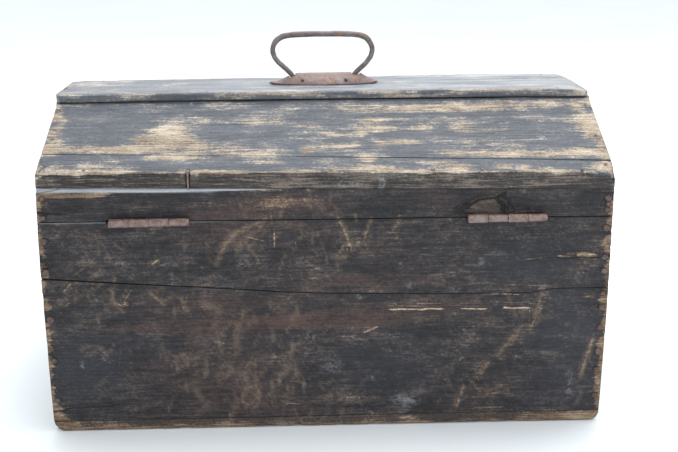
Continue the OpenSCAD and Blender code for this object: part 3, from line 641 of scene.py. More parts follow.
# How strongly each noise of painted_wood shades the dark paint and its lighter blue-grey copy, whose lightness is
# painted sheen


def dark_mix(fine, hair, streak, blotch, grit, flaw):
    return (fine, 0.75), (hair, 0.55), (streak, 0.5), (blotch, 1.2), (grit, 0.9), (flaw, 0.7)


def blue_mix(fine, hair, streak, blotch, grit, flaw):
    return (fine, 0.75), (hair, 0.5), (streak, 0.6), (blotch, 1.1), (grit, 0.9), (flaw, 0.5)


def painted_wood(name, paint_ramp, paint_mix, wood_ramp, worn, combed, gritty, soft, scuffed, gloss,
                 specular, eaves_ramp=None):
    """Old paint over pine.

    worn shifts how much wood shows, combed how far it follows the grain, gritty how speckled and soft
    how gently it starts, and scuffed is how strong the paint's own fine scuffs are.
    """
    g = Graph(name)
    grain = g.attribute("grain", "Vector")
    wear, bare, tone, dust = (g.attribute(a) for a in ("wear", "bare", "tone", "dust"))
    dirt, pale = g.attribute("dirt"), g.attribute("pale")
    turned = g.node("VectorRotate", {"Vector": grain, "Angle": 1.05}, rotation_type="Y_AXIS").outputs[0]
    fine = g.stretched(grain, (0.024, 0.55, 0.55), 5, 0.64, 0.5)
    hair = g.stretched(grain, (0.060, 1.30, 1.30), 3, 0.6)
    streak = g.stretched(grain, (0.010, 0.10, 0.10), 6, 0.62, 0.6)
    blotch = g.stretched(grain, (0.024, 0.042, 0.042), 8, 0.68)
    grit = g.stretched(grain, (0.36, 0.52, 0.52), 5, 0.75)
    flaw = g.stretched(grain, (0.12, 0.26, 0.26), 6, 0.7)
    speck = g.stretched(grain, (0.50, 0.72, 0.72), 2, 0.5)
    scuff = g.stretched(turned, (0.085, 0.60, 0.60), 4, 0.6)

    # Paint: dark to light along the grain, cloudy and gritty
    shade = g.blend(0.5, *paint_mix(fine, hair, streak, blotch, grit, flaw))
    paint = g.ramp(shade, paint_ramp)
    if eaves_ramp:
        edge = g.blend(0.0, (fine, 0.9), (hair, 0.5), (blotch, 0.3))
        edge = g.math("MULTIPLY_ADD", tone, 0.2, g.math("ADD", shade, edge))
        paint = g.mix(g.attribute("eaves"), paint, g.ramp(edge, eaves_ramp))
    else:
        warm = g.math("MULTIPLY", tone, 0.75, clamp=True)
        warm = g.math("MULTIPLY", warm, g.step(shade, 0.25, 0.60, 0.3, 1.0))
        paint = g.mix(warm, paint, REDDISH)
        paint = g.mix(g.math("MULTIPLY", tone, -0.55, clamp=True), paint, BLUISH)

    # Bare wood: tan with darker grain
    wood = g.ramp(g.blend(0.5, (fine, 1.1), (hair, 0.7), (blotch, 1.2), (grit, 0.9)), wood_ramp)

    # Where the wood shows, and where the paint is only rubbed
    level = g.blend(worn, (streak, 1.0 + 0.5 * combed), (fine, 1.2 * combed), (blotch, 2.2), (grit, gritty),
                    (hair, 0.4 * combed))
    shows = g.step(g.math("ADD", level, wear), 0.53 - soft, 0.53 + soft)
    shows = g.math("MAXIMUM", shows, bare)
    mark = g.math("ABSOLUTE", g.attribute("mark"))
    ragged = g.math("MULTIPLY_ADD", g.math("SUBTRACT", grit, 0.5), -4.0, mark)
    broken = g.math("MULTIPLY", g.step(flaw, 0.38, 0.56, 0.5, 1.35), g.attribute("mark_on"))
    scratch = g.math("MULTIPLY", g.step(ragged, 1.9, 0.0), broken)
    scuffs = g.math("MULTIPLY", g.step(g.blend(0.5, (scuff, 1.0), (grit, 0.5)), 0.60, 0.80), scuffed)
    scratch = g.math("MAXIMUM", scratch, scuffs)
    shows = g.math("MAXIMUM", shows, g.math("MINIMUM", scratch, 1.0))
    patchy = g.step(g.blend(0.5, (grit, 1.3), (flaw, 0.9)), 0.2, 0.75, 0.35, 1.25)
    rubbed = g.math("MULTIPLY", g.attribute("rub"), patchy)
    paint = g.mix(g.math("MINIMUM", rubbed, 0.8), paint, RUBBED)

    # On top: bright fresh scratches, dust, the pale cover of weathered bloom with painted highlights and sheen,
    # cracks, and darkening from dirt and painted shade
    color = g.mix(shows, paint, wood)
    bright = tuple(min(1.0, 1.45 * c) for c in wood_ramp[-1][1])
    color = g.mix(g.math("SUBTRACT", scratch, 0.60, clamp=True), color, bright)
    powder = g.math("MULTIPLY", g.step(g.blend(0.5, (grit, 0.9), (flaw, 0.9)), 0.36, 0.66), dust)
    powder = g.math("MULTIPLY", powder, 0.75)
    specks = g.math("MULTIPLY", g.step(speck, 0.735, 0.80), 0.5)
    color = g.mix(g.math("MAXIMUM", powder, specks, clamp=True), color, DUST)
    # The pale cover: weathered bloom, and painted highlights and sheen where a board faces the light
    cover = g.math("MULTIPLY", pale, g.step(grit, 0.25, 0.60, 0.6, 1.0), clamp=True)
    color = g.mix(cover, color, g.mix(g.step(streak, 0.35, 0.65), *SHEEN_AND_BLOOM))
    crack = g.math("MULTIPLY_ADD", g.math("SUBTRACT", grit, 0.5), 3.2, g.attribute("crack"))
    crack = g.math("ABSOLUTE", crack)
    crack = g.math("MULTIPLY", g.step(crack, 1.6, 0.3), g.attribute("crack_on"), clamp=True)
    # Darkening: dirt, dark joints and painted shade from the attribute, and the cracks
    gloom = g.math("MAXIMUM", g.math("MULTIPLY", dirt, 0.85), crack)
    color = g.mix(gloom, color, SOOT_AND_SHADE)

    roughness = g.step(shows, 0.0, 1.0, gloss, 0.86)
    roughness = g.math("MULTIPLY_ADD", g.math("SUBTRACT", blotch, 0.5), 0.5, roughness)
    height = g.blend(0.0, (hair, 0.3), (fine, 0.9), (streak, 0.7), (grit, 0.35))
    height = g.math("MULTIPLY_ADD", shows, -0.15, height)
    height = g.math("MULTIPLY_ADD", crack, -1.4, height)
    return g.finish(color, roughness, height, 0.0009, **{"Specular IOR Level": specular})


def bare_wood(name, wood_a, wood_b, stain):
    """Pine that was never painted, darkened by age."""
    g = Graph(name)
    grain = g.attribute("grain", "Vector")
    fine = g.stretched(grain, (0.022, 0.95, 0.95), 4, 0.6)
    streak = g.stretched(grain, (0.010, 0.20, 0.20), 5, 0.6, 0.4)
    blotch = g.stretched(grain, (0.018, 0.045, 0.045), 5, 0.6)
    color = g.mix(g.step(fine, 0.36, 0.66), wood_b, wood_a)
    color = g.mix(g.math("MULTIPLY", g.step(blotch, 0.45, 0.66), 0.7), color, stain)
    edges = g.step(g.attribute("wear"), 0.2, 1.0, 0.0, 0.25)
    # Darkened by the attribute for dirt and painted shade, and at worn edges
    gloom = g.math("MAXIMUM", g.math("MULTIPLY", g.attribute("dirt"), 0.8), edges)
    color = g.mix(gloom, color, (0.02, 0.017, 0.014))
    height = g.math("MULTIPLY_ADD", streak, 0.6, g.math("MULTIPLY", fine, 0.9))
    return g.finish(color, g.step(streak, 0.3, 0.7, 0.78, 0.9), height, 0.0006)


def rusted(name, rust_a, rust_b, metal, cover, scale=1.0, shine=0.35):
    """Iron with scaly rust; cover is how much of it is rusted, and scale how fine the rust is."""
    g = Graph(name)
    at = g.node("TexCoord").outputs["Object"]
    scales = g.stretched(at, (260.0 * scale,) * 3, 5, 0.7)
    patch = g.stretched(at, (75.0 * scale,) * 3, 5, 0.65)
    pits = g.stretched(at, (900.0,) * 3, 3, 0.6)
    color = g.mix(g.step(scales, 0.36, 0.64), rust_b, rust_a)
    color = g.mix(g.step(patch, cover, cover + 0.14, 0.0, 0.9), color, metal)
    orange = tuple(k * c for k, c in zip((1.25, 0.95, 0.7), rust_a))
    color = g.mix(g.step(patch, 0.42, 0.33, 0.0, 0.7), color, orange)
    color = g.mix(g.step(pits, 0.58, 0.72, 0.0, 0.6), color, tuple(0.35 * c for c in rust_b))
    height = g.blend(0.0, (pits, 0.35), (scales, 1.0), (patch, 1.0))
    return g.finish(color, g.step(scales, 0.3, 0.7, 0.42, 0.72), height, 0.0004, Metallic=shine)


# Colours are linear. A ramp runs from the dark to the light of its noise.
DARK_PAINT = [(0.22, (0.0070, 0.0070, 0.0090)), (0.44, (0.0225, 0.0215, 0.0250)),
              (0.60, (0.042, 0.0365, 0.0375)), (0.85, (0.120, 0.096, 0.086))]
# The blue-grey is the dark paint made lighter on the upward slopes and top board: painted reflection of the bright
# sky at a glancing angle
BLUE_SHEEN_PAINT = [(0.20, (0.018, 0.022, 0.031)), (0.42, (0.042, 0.054, 0.076)),
              (0.62, (0.078, 0.088, 0.106)), (0.85, (0.180, 0.172, 0.168))]
EAVES_PAINT = [(0.22, (0.005, 0.004, 0.004)), (0.42, (0.018, 0.014, 0.012)),
               (0.62, (0.045, 0.037, 0.033)), (0.85, (0.170, 0.137, 0.112))]
TAN_WOOD = [(0.20, (0.120, 0.088, 0.066)), (0.45, (0.285, 0.226, 0.170)), (0.62, (0.425, 0.360, 0.280)),
            (0.85, (0.620, 0.550, 0.455))]
BROWN_WOOD = [(0.20, (0.055, 0.040, 0.032)), (0.45, (0.150, 0.104, 0.072)), (0.62, (0.255, 0.182, 0.120)),
              (0.85, (0.400, 0.310, 0.220))]
WOOD = {
    "worn_dark_paint": painted_wood(
        "dark_paint", DARK_PAINT, dark_mix, BROWN_WOOD, worn=-0.18, combed=0.5, gritty=2.0, soft=0.28,
        scuffed=0.45, gloss=0.60, specular=0.35),
    # The slopes' and top board's paint: the dark paint lightened with painted sheen
    "worn_blue_grey_paint": painted_wood(
        "blue_grey_paint", BLUE_SHEEN_PAINT, blue_mix, TAN_WOOD, worn=0.27, combed=0.85, gritty=1.1, soft=0.30,
        scuffed=0.30, gloss=0.46, specular=0.5, eaves_ramp=EAVES_PAINT),
    "bare_wood": bare_wood("old_pine", (0.34, 0.25, 0.165), (0.20, 0.14, 0.09), (0.12, 0.085, 0.06)),
}
RUSTY = rusted("rusty_iron", (0.300, 0.215, 0.195), (0.150, 0.098, 0.084), (0.270, 0.235, 0.225), 0.50)
PLATE_IRON = rusted("plate_iron", (0.310, 0.243, 0.232), (0.205, 0.147, 0.136), (0.290, 0.265, 0.266), 0.50)
WIRE_IRON = rusted("wire_iron", (0.215, 0.180, 0.172), (0.118, 0.092, 0.085), (0.240, 0.228, 0.226), 0.46)
LOCK_IRON = rusted("lock_iron", (0.12, 0.075, 0.055), (0.075, 0.05, 0.04), (0.075, 0.072, 0.07), 0.42)
NAIL_IRON = rusted("nail_iron", (0.185, 0.125, 0.112), (0.080, 0.054, 0.048), (0.200, 0.170, 0.165), 0.52,
                   scale=1.6, shine=0.5)

# ------------------------------------------------------------------ case


def inside_case(points):
    """1 on surfaces inside the box or between boards, which were never painted."""
    x, y, z = points.T
    return ((np.abs(x) < HALF_L - 1.0) & (np.abs(y) < HALF_D - 1.0)).astype(float)


def paint_back(board, points, normal, fields):
    """The hinge side: the marks it shows, on the case's boards and the lid's back rail alike."""
    out = facing(normal, (0, 1, 0))
    uv = points[:, [0, 2]]
    from_middle = np.abs(points[:, 0])
    fields["wear"] += spread(uv, BACK_WORN, 91) * out * (1 + 0.8 * smooth(from_middle, HALF_L - 14, HALF_L))
    chips = smooth(noise(points, (9, 9, 5), 96, 3), 0.36, 0.62)
    fields["wear"] += 0.75 * chips * smooth(from_middle, HALF_L - 9, HALF_L - 1) * out
    fields["rub"] = np.maximum(rub(uv, BACK_RUBS, 97), smear(uv, BACK_SMEARS)) * out
    fields["tone"] += spread(uv, BACK_TONE, 92, 10) * out
    # A darker ring round each nail head: rust stain, and painted shadow of the head
    for x, z in NAILS_SEEN:
        reach = np.hypot(points[:, 0] - x, points[:, 2] - z)
        fields["dirt"] += 0.75 * (1 - smooth(reach, 2.4, 4.6)) * out
    fields["dust"] += spread(uv, BACK_DUST, 93, 2) * out
    fields["mark"], on = draw(uv, BACK_SCRATCHES, 94)
    fields["mark_on"] = on * out
    fields["crack"], on = draw(uv, BACK_CRACKS, 95, 2.6)
    fields["crack_on"] = on * out
    fields["bare"] = inside_case(points) * (1 - out)
    # The foot and the floor boards' edge are rubbed more than the rest
    fields["wear"] += 0.30 * (1 - smooth(points[:, 2], 0, 5)) * out
    sole = (1 - smooth(points[:, 2], 8, 12)) * out
    fields["wear"] += 0.26 * sole * (0.5 + noise(points, (40, 9, 5), 98, 3))
    fields["rub"] += 0.25 * sole
    fields["dirt"] -= 0.5 * sole * fields["dirt"]
    # Light caught on the case's top arris
    ridge = smooth(points[:, 2], CASE_TOP - 1.2, CASE_TOP - 0.3) * (points[:, 2] < CASE_TOP)
    fields["pale"] += 0.5 * ridge * smooth(points[:, 0], 60, 130)


def paint_plain(outward):
    """A painted face with its own scattered wear, for the sides that the hinge side hides."""

    def paint(board, points, normal, fields):
        rng = np.random.default_rng(board.seed)
        out = facing(normal, outward)
        uv = points[:, [0 if outward[1] else 1, 2]]
        low, high = uv.min(0), uv.max(0)
        count = int((high[0] - low[0]) / 16)
        place = low + (high - low) * rng.random((count, 2))
        size = np.column_stack([rng.uniform(4, 22, count), rng.uniform(1, 5, count)])
        patches = np.column_stack([place, size, rng.uniform(0.1, 0.5, count)])
        fields["wear"] += (spread(uv, patches.tolist(), board.seed + 31) - 0.04) * out
        ends = place + rng.normal(0, 9, (count, 2))
        strokes = np.column_stack([place, ends, rng.uniform(0.9, 2, count), rng.uniform(0.2, 0.7, count)])
        fields["mark"], on = draw(uv, strokes.tolist(), board.seed + 32)
        fields["mark_on"] = on * out
        swirl = noise(points, (90, 90, 22), board.seed + 33, 3)
        fields["tone"] += (swirl - 0.5) * 2.2 * out
        fields["bare"] = inside_case(points) * (1 - out)

    return paint


def solids(node):
    """The points of each separate solid in a CAD node."""
    mesh = frame["nodes"][node].data
    spots, label = np.unique(cad_points(node).round(3), axis=0, return_inverse=True)
    label = label.ravel()
    edges = np.zeros(len(mesh.edges) * 2, int)
    mesh.edges.foreach_get("vertices", edges)
    a, b = label[edges.reshape(-1, 2)].T
    group = np.arange(len(spots))
    while True:
        least = group.copy()
        np.minimum.at(least, a, group[b])
        np.minimum.at(least, b, group[a])
        least = least[least]
        if (least == group).all():
            break
        group = least
    return [spots[group == g] for g in np.unique(group)]


NAILS_SEEN = [s.mean(0)[[0, 2]] for node in ("nails_back", "nails_rail_back") for s in solids(node)]


def follow_seam(anchor_z, moving_z, gap):
    """Moves a board's edge from moving_z to the wandering back seam, keeping its far edge still."""

    def shape(points):
        out = points.copy()
        x = points[:, 0]
        share = (points[:, 2] - anchor_z) / (moving_z - anchor_z)
        opening = gap * np.interp(x, (-HALF_L, -100, 60, 200, HALF_L), (0.25, 0.3, 0.5, 0.9, 1.3))
        out[:, 2] += share * (np.interp(x, BACK_SEAM_X, BACK_SEAM_Z) + opening - moving_z)
        return out

    return shape


def flat_of_leaf(side, body):
    """The part of a hinge leaf that lies between the boards, without its knuckles."""
    leaf = cad_points("hinge_%s_%s_leaf" % (side, body))
    return leaf[leaf[:, 1] < HALF_D - 1]


HINGE_SPANS = [(cad("hinge_%s_pin" % s)[0][0], cad("hinge_%s_pin" % s)[1][0]) for s in ("left", "right")]
LEAF_Y = cad("hinge_left_case_leaf")[0][1]
LEAF_LOW = flat_of_leaf("left", "case")[:, 2].min()
LEAF_HIGH = flat_of_leaf("left", "lid")[:, 2].max()


def leaf_pocket(low_z, high_z):
    """The pockets for both hinges' leaves, between two heights."""

    def hollow(x, y, z):
        near = [(x > a) & (x < b) for a, b in HINGE_SPANS]
        return (near[0] | near[1]) & (y > LEAF_Y) & (z > low_z) & (z < high_z)

    return hollow


hinge_x = [v for span in HINGE_SPANS for v in span]
LOW_AND_HIGH = ((2, 0), (2, 1))  # joints along a board's lower and upper side
SEAM_GAP = 0.35  # half the usual opening of the back seam
mid_seam = 0.5 * (BACK_SEAM_Z.max() + BACK_SEAM_Z.min())
back_low, back_high = cad("back_board_lower")
Board("back_board_lower", "case", "worn_dark_paint", 2.4, joints=LOW_AND_HIGH,
      high=(back_high[0], back_high[1], mid_seam), shape=follow_seam(back_low[2], mid_seam, -SEAM_GAP),
      ).finish(case_lean, paint_back)
back_low, back_high = cad("back_board_upper")
Board("back_board_upper", "case", "worn_dark_paint", 2.4, joints=LOW_AND_HIGH,
      low=(back_low[0], back_low[1], mid_seam), shape=follow_seam(back_high[2], mid_seam, SEAM_GAP),
      extra=(hinge_x, (LEAF_Y,), (LEAF_LOW,)), hollow=leaf_pocket(LEAF_LOW, math.inf),
      ).finish(case_lean, paint_back)

# The keyhole is cut square here; the escutcheon in front of it shows its true outline
KEY_Z = next(m["pos_m"][2] for m in frame["record"]["mounts"] if m["name"] == "keyhole") / MM
KEY_HALF_W, KEY_DOWN = 3.2, 10.2


def keyhole(x, y, z):
    return (np.abs(x) < KEY_HALF_W) & (z > KEY_Z - KEY_DOWN) & (z < KEY_Z + KEY_HALF_W)


Board("front_board_lower", "case", "worn_dark_paint", 2.4, joints=LOW_AND_HIGH,
      ).finish(case_lean, paint_plain((0, -1, 0)))
Board("front_board_upper", "case", "worn_dark_paint", 2.4, joints=LOW_AND_HIGH, hollow=keyhole,
      extra=((-KEY_HALF_W, KEY_HALF_W), (), (KEY_Z - KEY_DOWN, KEY_Z + KEY_HALF_W)),
      ).finish(case_lean, paint_plain((0, -1, 0)))
for end, sign in (("left", -1), ("right", 1)):
    for part, joints in (("lower", ((2, 0), (2, 1), (1, 0), (1, 1))), ("upper", ((2, 0), (1, 0), (1, 1)))):
        Board("end_%s_%s" % (end, part), "case", "worn_dark_paint", 1.6, grain="y", joints=joints,
              ).finish(case_lean, paint_plain((sign, 0, 0)))


def floor_corners(block):
    """Extra rounding at the foot's corners, more at the right end."""
    foot = 1 - smooth(block[:, 2], 3, 9)
    right = 2.2 * (1 - smooth(HALF_L - block[:, 0], 4, 14))
    left = 1.0 * (1 - smooth(block[:, 0] + HALF_L, 4, 12))
    return 1 + foot * (right + left)


for node, joint, paint in (("floor_board_back", (1, 0), paint_back),
                           ("floor_board_front", (1, 1), paint_plain((0, -1, 0)))):
    Board(node, "case", "worn_dark_paint", 2.6, joints=((2, 1), joint), thin=floor_corners,
          ).finish(case_lean, paint)

# ------------------------------------------------------------------ lid

KNOT = (-150, 224)  # its middle, on the back rail
# How far the back rail's outer arris is broken down, toward the right end
LEDGE_X = (20, 110, HALF_L)
LEDGE_DROP = (0.0, 2.8, 4.3)


def rail_top(y):
    """Height of the slope's underside."""
    return RAIL_TOP + (HALF_D - np.abs(y)) * PITCH


def rail_shape(points):
    """A rail's top is planed to the slope."""
    out = points.copy()
    share = (points[:, 2] - LID_FOOT) / (cad("lid_rail_back")[1][2] - LID_FOOT)
    foot = LID_FOOT - 0.3
    out[:, 2] = foot + share * (rail_top(points[:, 1]) - foot)
    return out


def paint_rail_back(board, points, normal, fields):
    """The hinge side's marks, with the ledge where the arris is broken off, and the knot's hollow."""
    paint_back(board, points, normal, fields)
    drop = np.interp(points[:, 0], LEDGE_X, LEDGE_DROP) * (0.8 + 0.4 * noise(points, (60, 9, 9), 77))
    over = np.clip(points[:, 2] - (RAIL_TOP - drop), 0, None)
    near = points[:, 1] > HALF_D - 8
    moved = points.copy()
    moved[:, 1] -= np.where(near, np.minimum(over * 0.75, 4.5), 0)
    ledge = np.where(near, smooth(over, 0.0, 0.8) * smooth(drop, 0.3, 1.5), 0)
    # Painted light: the ledge, where it faces up, gets the pale cover for the light it catches
    fields["pale"] = 1.25 * ledge
    tan_line = (1 - smooth(np.abs(points[:, 2] - (RAIL_TOP - drop - 2.4)), 1.0, 2.6)) * near
    fields["wear"] += 1.3 * tan_line * np.interp(points[:, 0], (195, 225, 262, HALF_L), (0, 1, 1, 0.2))
    knot = 1 - smooth(np.hypot((points[:, 0] - KNOT[0]) / 22, (points[:, 2] - KNOT[1]) / 11), 0.4, 1.2)
    knot = knot * (points[:, 1] > HALF_D - 1)
    moved[:, 1] -= 2.2 * knot * noise(points, (9, 9, 5), 79, 3)
    fields["tone"] += 0.1 * knot
    fields["wear"] -= 0.3 * ledge
    return moved


Board("lid_rail_back", "lid", "worn_dark_paint", 1.6, joints=LOW_AND_HIGH, shape=rail_shape,
      extra=(hinge_x, (LEAF_Y, HALF_D - 7.5), (LEAF_HIGH, 238, 242, 244)),
      hollow=leaf_pocket(-math.inf, LEAF_HIGH)).finish(lid_lean, paint_rail_back)
Board("lid_rail_front", "lid", "worn_dark_paint", 1.6, joints=LOW_AND_HIGH, shape=rail_shape,
      ).finish(lid_lean, paint_plain((0, -1, 0)))


def lid_end_shape(points):
    """A lid end's top follows both slopes and the flat under the top board."""
    low, high = cad("lid_end_left")
    share = (points[:, 2] - low[2]) / (high[2] - low[2])
    y = np.abs(points[:, 1])
    top = np.where(y < BEARING_HALF, high[2], rail_top(y))
    out = points.copy()
    out[:, 2] = low[2] + share * (top - low[2])
    return out


beside_bearing = [edge + d for edge in (-BEARING_HALF, BEARING_HALF) for d in (-0.01, 0.01)]
for end, sign in (("left", -1), ("right", 1)):
    Board("lid_end_" + end, "lid", "worn_dark_paint", 1.4, grain="y", joints=((2, 1), (1, 0), (1, 1)),
          extra=((), beside_bearing, ()), shape=lid_end_shape).finish(lid_lean, paint_plain((sign, 0, 0)))


FULL_RUN = HALF_D - BEARING_HALF


def course_at(x):
    """How far in from the wall the joint of the two roof boards lies."""
    return np.interp(x, (-HALF_L, HALF_L), COURSE)


def roof_shape(side, upper):
    """From a flat block (x, run up the slope, height through the board) to its place on the roof."""

    def shape(points):
        seam = course_at(points[:, 0])
        # The joint is open at the left and at its very ends, and filled with paint between
        gap = np.interp(points[:, 0], (-70, 10, 244, 256), (0.35, 0.06, 0.06, 0.4))
        start = seam + gap if upper else 0.0
        stop = FULL_RUN if upper else seam - gap
        width = FULL_RUN if upper else COURSE[1]
        run = start + points[:, 1] / width * (stop - start)
        blunt = np.exp(-((run / 9) ** 2)) * np.clip(points[:, 2] / ROOF_T, 0, 1)
        blunt = blunt * np.interp(points[:, 0], (-HALF_L, -262, -235, 250, HALF_L), (6.5, 3.5, 0.6, 0.0, 1.5))
        z = RAIL_TOP + run * PITCH + points[:, 2] - blunt
        return np.column_stack([points[:, 0], side * (HALF_D - run), np.minimum(z, CROWN_Z)])

    return shape


NAIL_X = middle("bare_nail")[0]
# Dust on the slopes
SLOPE_FLECKS = [
    (237, 111, 2, 1.5, 1.2), (134, 111, 1.5, 3, 1.2), (60, 112, 4, 1.5, 0.5), (-79, 110, 1.2, 2, 0.8),
    (236, 94, 3, 1.5, 0.5), (131, 11, 3, 3, 0.4),
]
# The tone of the plumb edge at the eaves, along X
EAVES_TONE_X, EAVES_TONE = (-250, -60, 20, 60, 200), (0.1, 0.8, 1.2, 0.8, -0.5)


def paint_roof(side):
    """Marks of a slope: +1 is the hinge side's, and -1 the front's, which has the same turned round."""

    def paint(board, points, normal, fields):
        top = facing(normal, (0, 0.38 * side, 0.92), 0.75, 0.95)
        eaves = facing(normal, (0, side, 0), 0.8, 0.98)
        run = HALF_D - np.abs(points[:, 1])
        slope = np.column_stack([points[:, 0] * side, run])
        fields["wear"] += 0.75 * spread(slope, SLOPE_WORN, 81 + side, 5) * top
        fields["wear"] -= 0.55 * spread(slope, SLOPE_KEPT, 84 + side, 5) * top
        arris = (1 - smooth(run, 0.5, 5.5)) * (0.1 + 0.6 * noise(points, (34, 9, 9), 86 + side, 3))
        fields["wear"] += arris * top
        fields["dirt"] *= np.interp(points[:, 0] * side, (-70, 10, 244, 256), (1.0, 0.25, 0.25, 1.0))
        under = 1 - smooth(SLOPE_RUN - run, 0.5, 6)
        fields["wear"] -= 0.4 * under * top
        # Painted shadow: the slope darkened just below the top board's edge
        fields["dirt"] = np.maximum(fields["dirt"], under * 0.30 * top)
        # The plumb edge at the eaves keeps the dark paint, except near its arris
        fields["eaves"] = np.maximum(eaves, 0.5 * (1 - smooth(run, 0, 3)))
        kept = -0.55 + 0.7 * smooth(points[:, 2], EAVES_Z - 2.6, EAVES_Z)
        fields["wear"] += np.where(eaves > 0.5, kept, 0)
        fields["tone"] += eaves * np.interp(slope[:, 0], EAVES_TONE_X, EAVES_TONE)
        if side > 0:
            fields["dust"] += spread(points[:, [0, 2]], BACK_DUST, 93, 2) * eaves
        inner = facing(normal, (0, -0.38 * side, -0.92), 0.6, 0.9)
        fields["bare"] = np.maximum(inner, (np.abs(points[:, 1]) < CROWN_HALF - 1).astype(float))
        fields["dust"] += spread(slope, SLOPE_FLECKS, 88, 2) * top
        if side > 0:
            # The wood beside the bare nail has split away
            near = 1 - smooth(np.abs(points[:, 0] - NAIL_X), 1.2, 2.4)
            moved = points.copy()
            moved[:, 1] -= 3.0 * near * (points[:, 1] > HALF_D - 3)
            # Painted shade inside the split
            fields["dirt"] = np.maximum(fields["dirt"], 0.5 * near * (points[:, 1] > HALF_D - 4))
            return moved

    return paint


def eaves_ends(block):
    """The eaves are rounded over at their ends, most at the left end."""
    arris = smooth(block[:, 2], 4, 12)
    right = 3.0 * (1 - smooth(block[:, 0] + HALF_L, 4, 34))
    left = 1.2 * (1 - smooth(HALF_L - block[:, 0], 4, 20))
    return 1 + arris * (right + left)


# The coin slot, from the CAD board that it is cut through
slot_edge = cad_points("roof_front_upper")
slot_edge = slot_edge[np.abs(slot_edge[:, 0]) < HALF_L - 5]
SLOT_HALF_L = np.abs(slot_edge[:, 0]).max()
SLOT_RUN = [HALF_D + slot_edge[:, 1].min(), HALF_D + slot_edge[:, 1].max()]

for side, name in ((1, "back"), (-1, "front")):
    beside_nail = [NAIL_X + d for d in (-4, -3, -2.2, -1.4, 0, 1.4, 2.2, 3, 4)] if side > 0 else []
    Board("roof_%s_lower" % name, "lid", "worn_blue_grey_paint", 2.6, joints=((2, 0), (1, 1)),
          low=(-HALF_L, 0, 0), high=(HALF_L, COURSE[1], ROOF_T), extra=(beside_nail, (), ()), thin=eaves_ends,
          shape=roof_shape(side, False)).finish(lid_lean, paint_roof(side), 0.5)
    hollow, extra = None, ((), (), ())
    if side < 0:
        to_block = [(r - course_at(0) - 0.3) / (FULL_RUN - course_at(0) - 0.3) * FULL_RUN for r in SLOT_RUN]

        def hollow(x, y, z):
            return (np.abs(x) < SLOT_HALF_L) & (y > to_block[0]) & (y < to_block[1])

        extra = ((-SLOT_HALF_L, SLOT_HALF_L), to_block, ())
    Board("roof_%s_upper" % name, "lid", "worn_blue_grey_paint", 2.0, joints=((2, 0), (1, 0), (1, 1)),
          low=(-HALF_L, 0, 0), high=(HALF_L, FULL_RUN, ROOF_T), extra=extra, hollow=hollow,
          shape=roof_shape(side, True)).finish(lid_lean, paint_roof(side), 0.5)


# The top board's rounded corners in plan, by the signs of X and Y: what each takes along X and Y
TOP_CORNERS = {(1, 1): (5, 5), (-1, 1): (8, 12), (1, -1): (14, 14), (-1, -1): (10, 60)}
SQUARENESS = {(-1, -1): 1.6}  # 2 is an ellipse, 1 a straight cut
WORN_END, WORN_DOWN = 15, 3.8  # the top board's worn end: how long it is, and how much lower


def top_shape(points):
    """Rounds the top board's corners in plan."""
    out = points.copy()
    for (sign_x, sign_y), (size_x, size_y) in TOP_CORNERS.items():
        dx = (sign_x * points[:, 0] - (HALF_L - size_x)) / size_x
        dy = (sign_y * points[:, 1] - (TOP_HIGH[1] - size_y)) / size_y
        corner = (dx > 0) & (dy > 0)
        power = SQUARENESS.get((sign_x, sign_y), 2.0)
        reach = (np.maximum(dx, 1e-9) ** power + np.maximum(dy, 1e-9) ** power) ** (1 / power)
        shrink = np.maximum(dx, dy) / reach
        out[:, 0] = np.where(corner, sign_x * (HALF_L - size_x + size_x * dx * shrink), out[:, 0])
        out[:, 1] = np.where(corner, sign_y * (TOP_HIGH[1] - size_y + size_y * dy * shrink), out[:, 1])
    return out


def top_wear(points):
    """lid_lean, with the top board's thinner end worn down."""
    moved = lid_lean(points)
    worn = np.clip((-points[:, 0] - HALF_L + WORN_END) / WORN_END, 0, 1) ** 1.4
    moved[:, 2] -= WORN_DOWN * worn * np.clip((points[:, 2] - CROWN_Z) / (TOP_Z - CROWN_Z), 0, 1)
    return moved


def paint_top(board, points, normal, fields):
    """The top board: a weathered top lightened with painted sheen, streaks of wood along its edge, and a painted
    shadow at the foot of its edge.
    """
    side = np.abs(facing(normal, (0, 1, 0)) + facing(normal, (0, -1, 0)))
    band = smooth(noise(points, (60, 6, 4), 61, 3), 0.3, 0.7)
    fields["wear"] += side * (0.8 * band - 0.34) * (0.5 + 0.5 * smooth(points[:, 2], CROWN_Z, CROWN_Z + 4))
    fields["eaves"] = side * 0.15
    fields["tone"] += 0.8 * side
    top = facing(normal, (0, 0, 1), 0.8, 0.98)
    # Painted sheen: the top, and a little its edges, made paler, more toward -X, for the glancing light they
    # catch; part of it is weathering
    light = np.interp(points[:, 0], (-HALF_L, 0, HALF_L), (0.55, 0.45, 0.25))
    fields["pale"] = top * light * (0.2 + 1.3 * noise(points, (50, 9, 9), 62, 3)) + 0.17 * side
    fields["wear"] += top * (noise(points, (60, 7, 9), 63, 3) - 0.55)
    # Painted shadow: the lowest part of its edges darkened where the board overhangs the slopes
    fields["dirt"] = np.maximum(fields["dirt"], side * (1 - smooth(points[:, 2], CROWN_Z, CROWN_Z + 1.6)))
    fields["bare"] = facing(normal, (0, 0, -1), 0.6, 0.9)


Board("top_board", "lid", "worn_blue_grey_paint", 4.0, joints=((2, 0),), shape=top_shape,
      ).finish(top_wear, paint_top, 0.5)

# ------------------------------------------------------------------ nails


def top_lean(points):
    """top_wear, with what stands on the cut corner of the top board drawn back onto it."""
    moved = top_wear(points)
    x, y = points[:, 0], points[:, 1]
    moved[:, 0] += 5 * ((x < -HALF_L + 15) & (y < 0))
    return moved



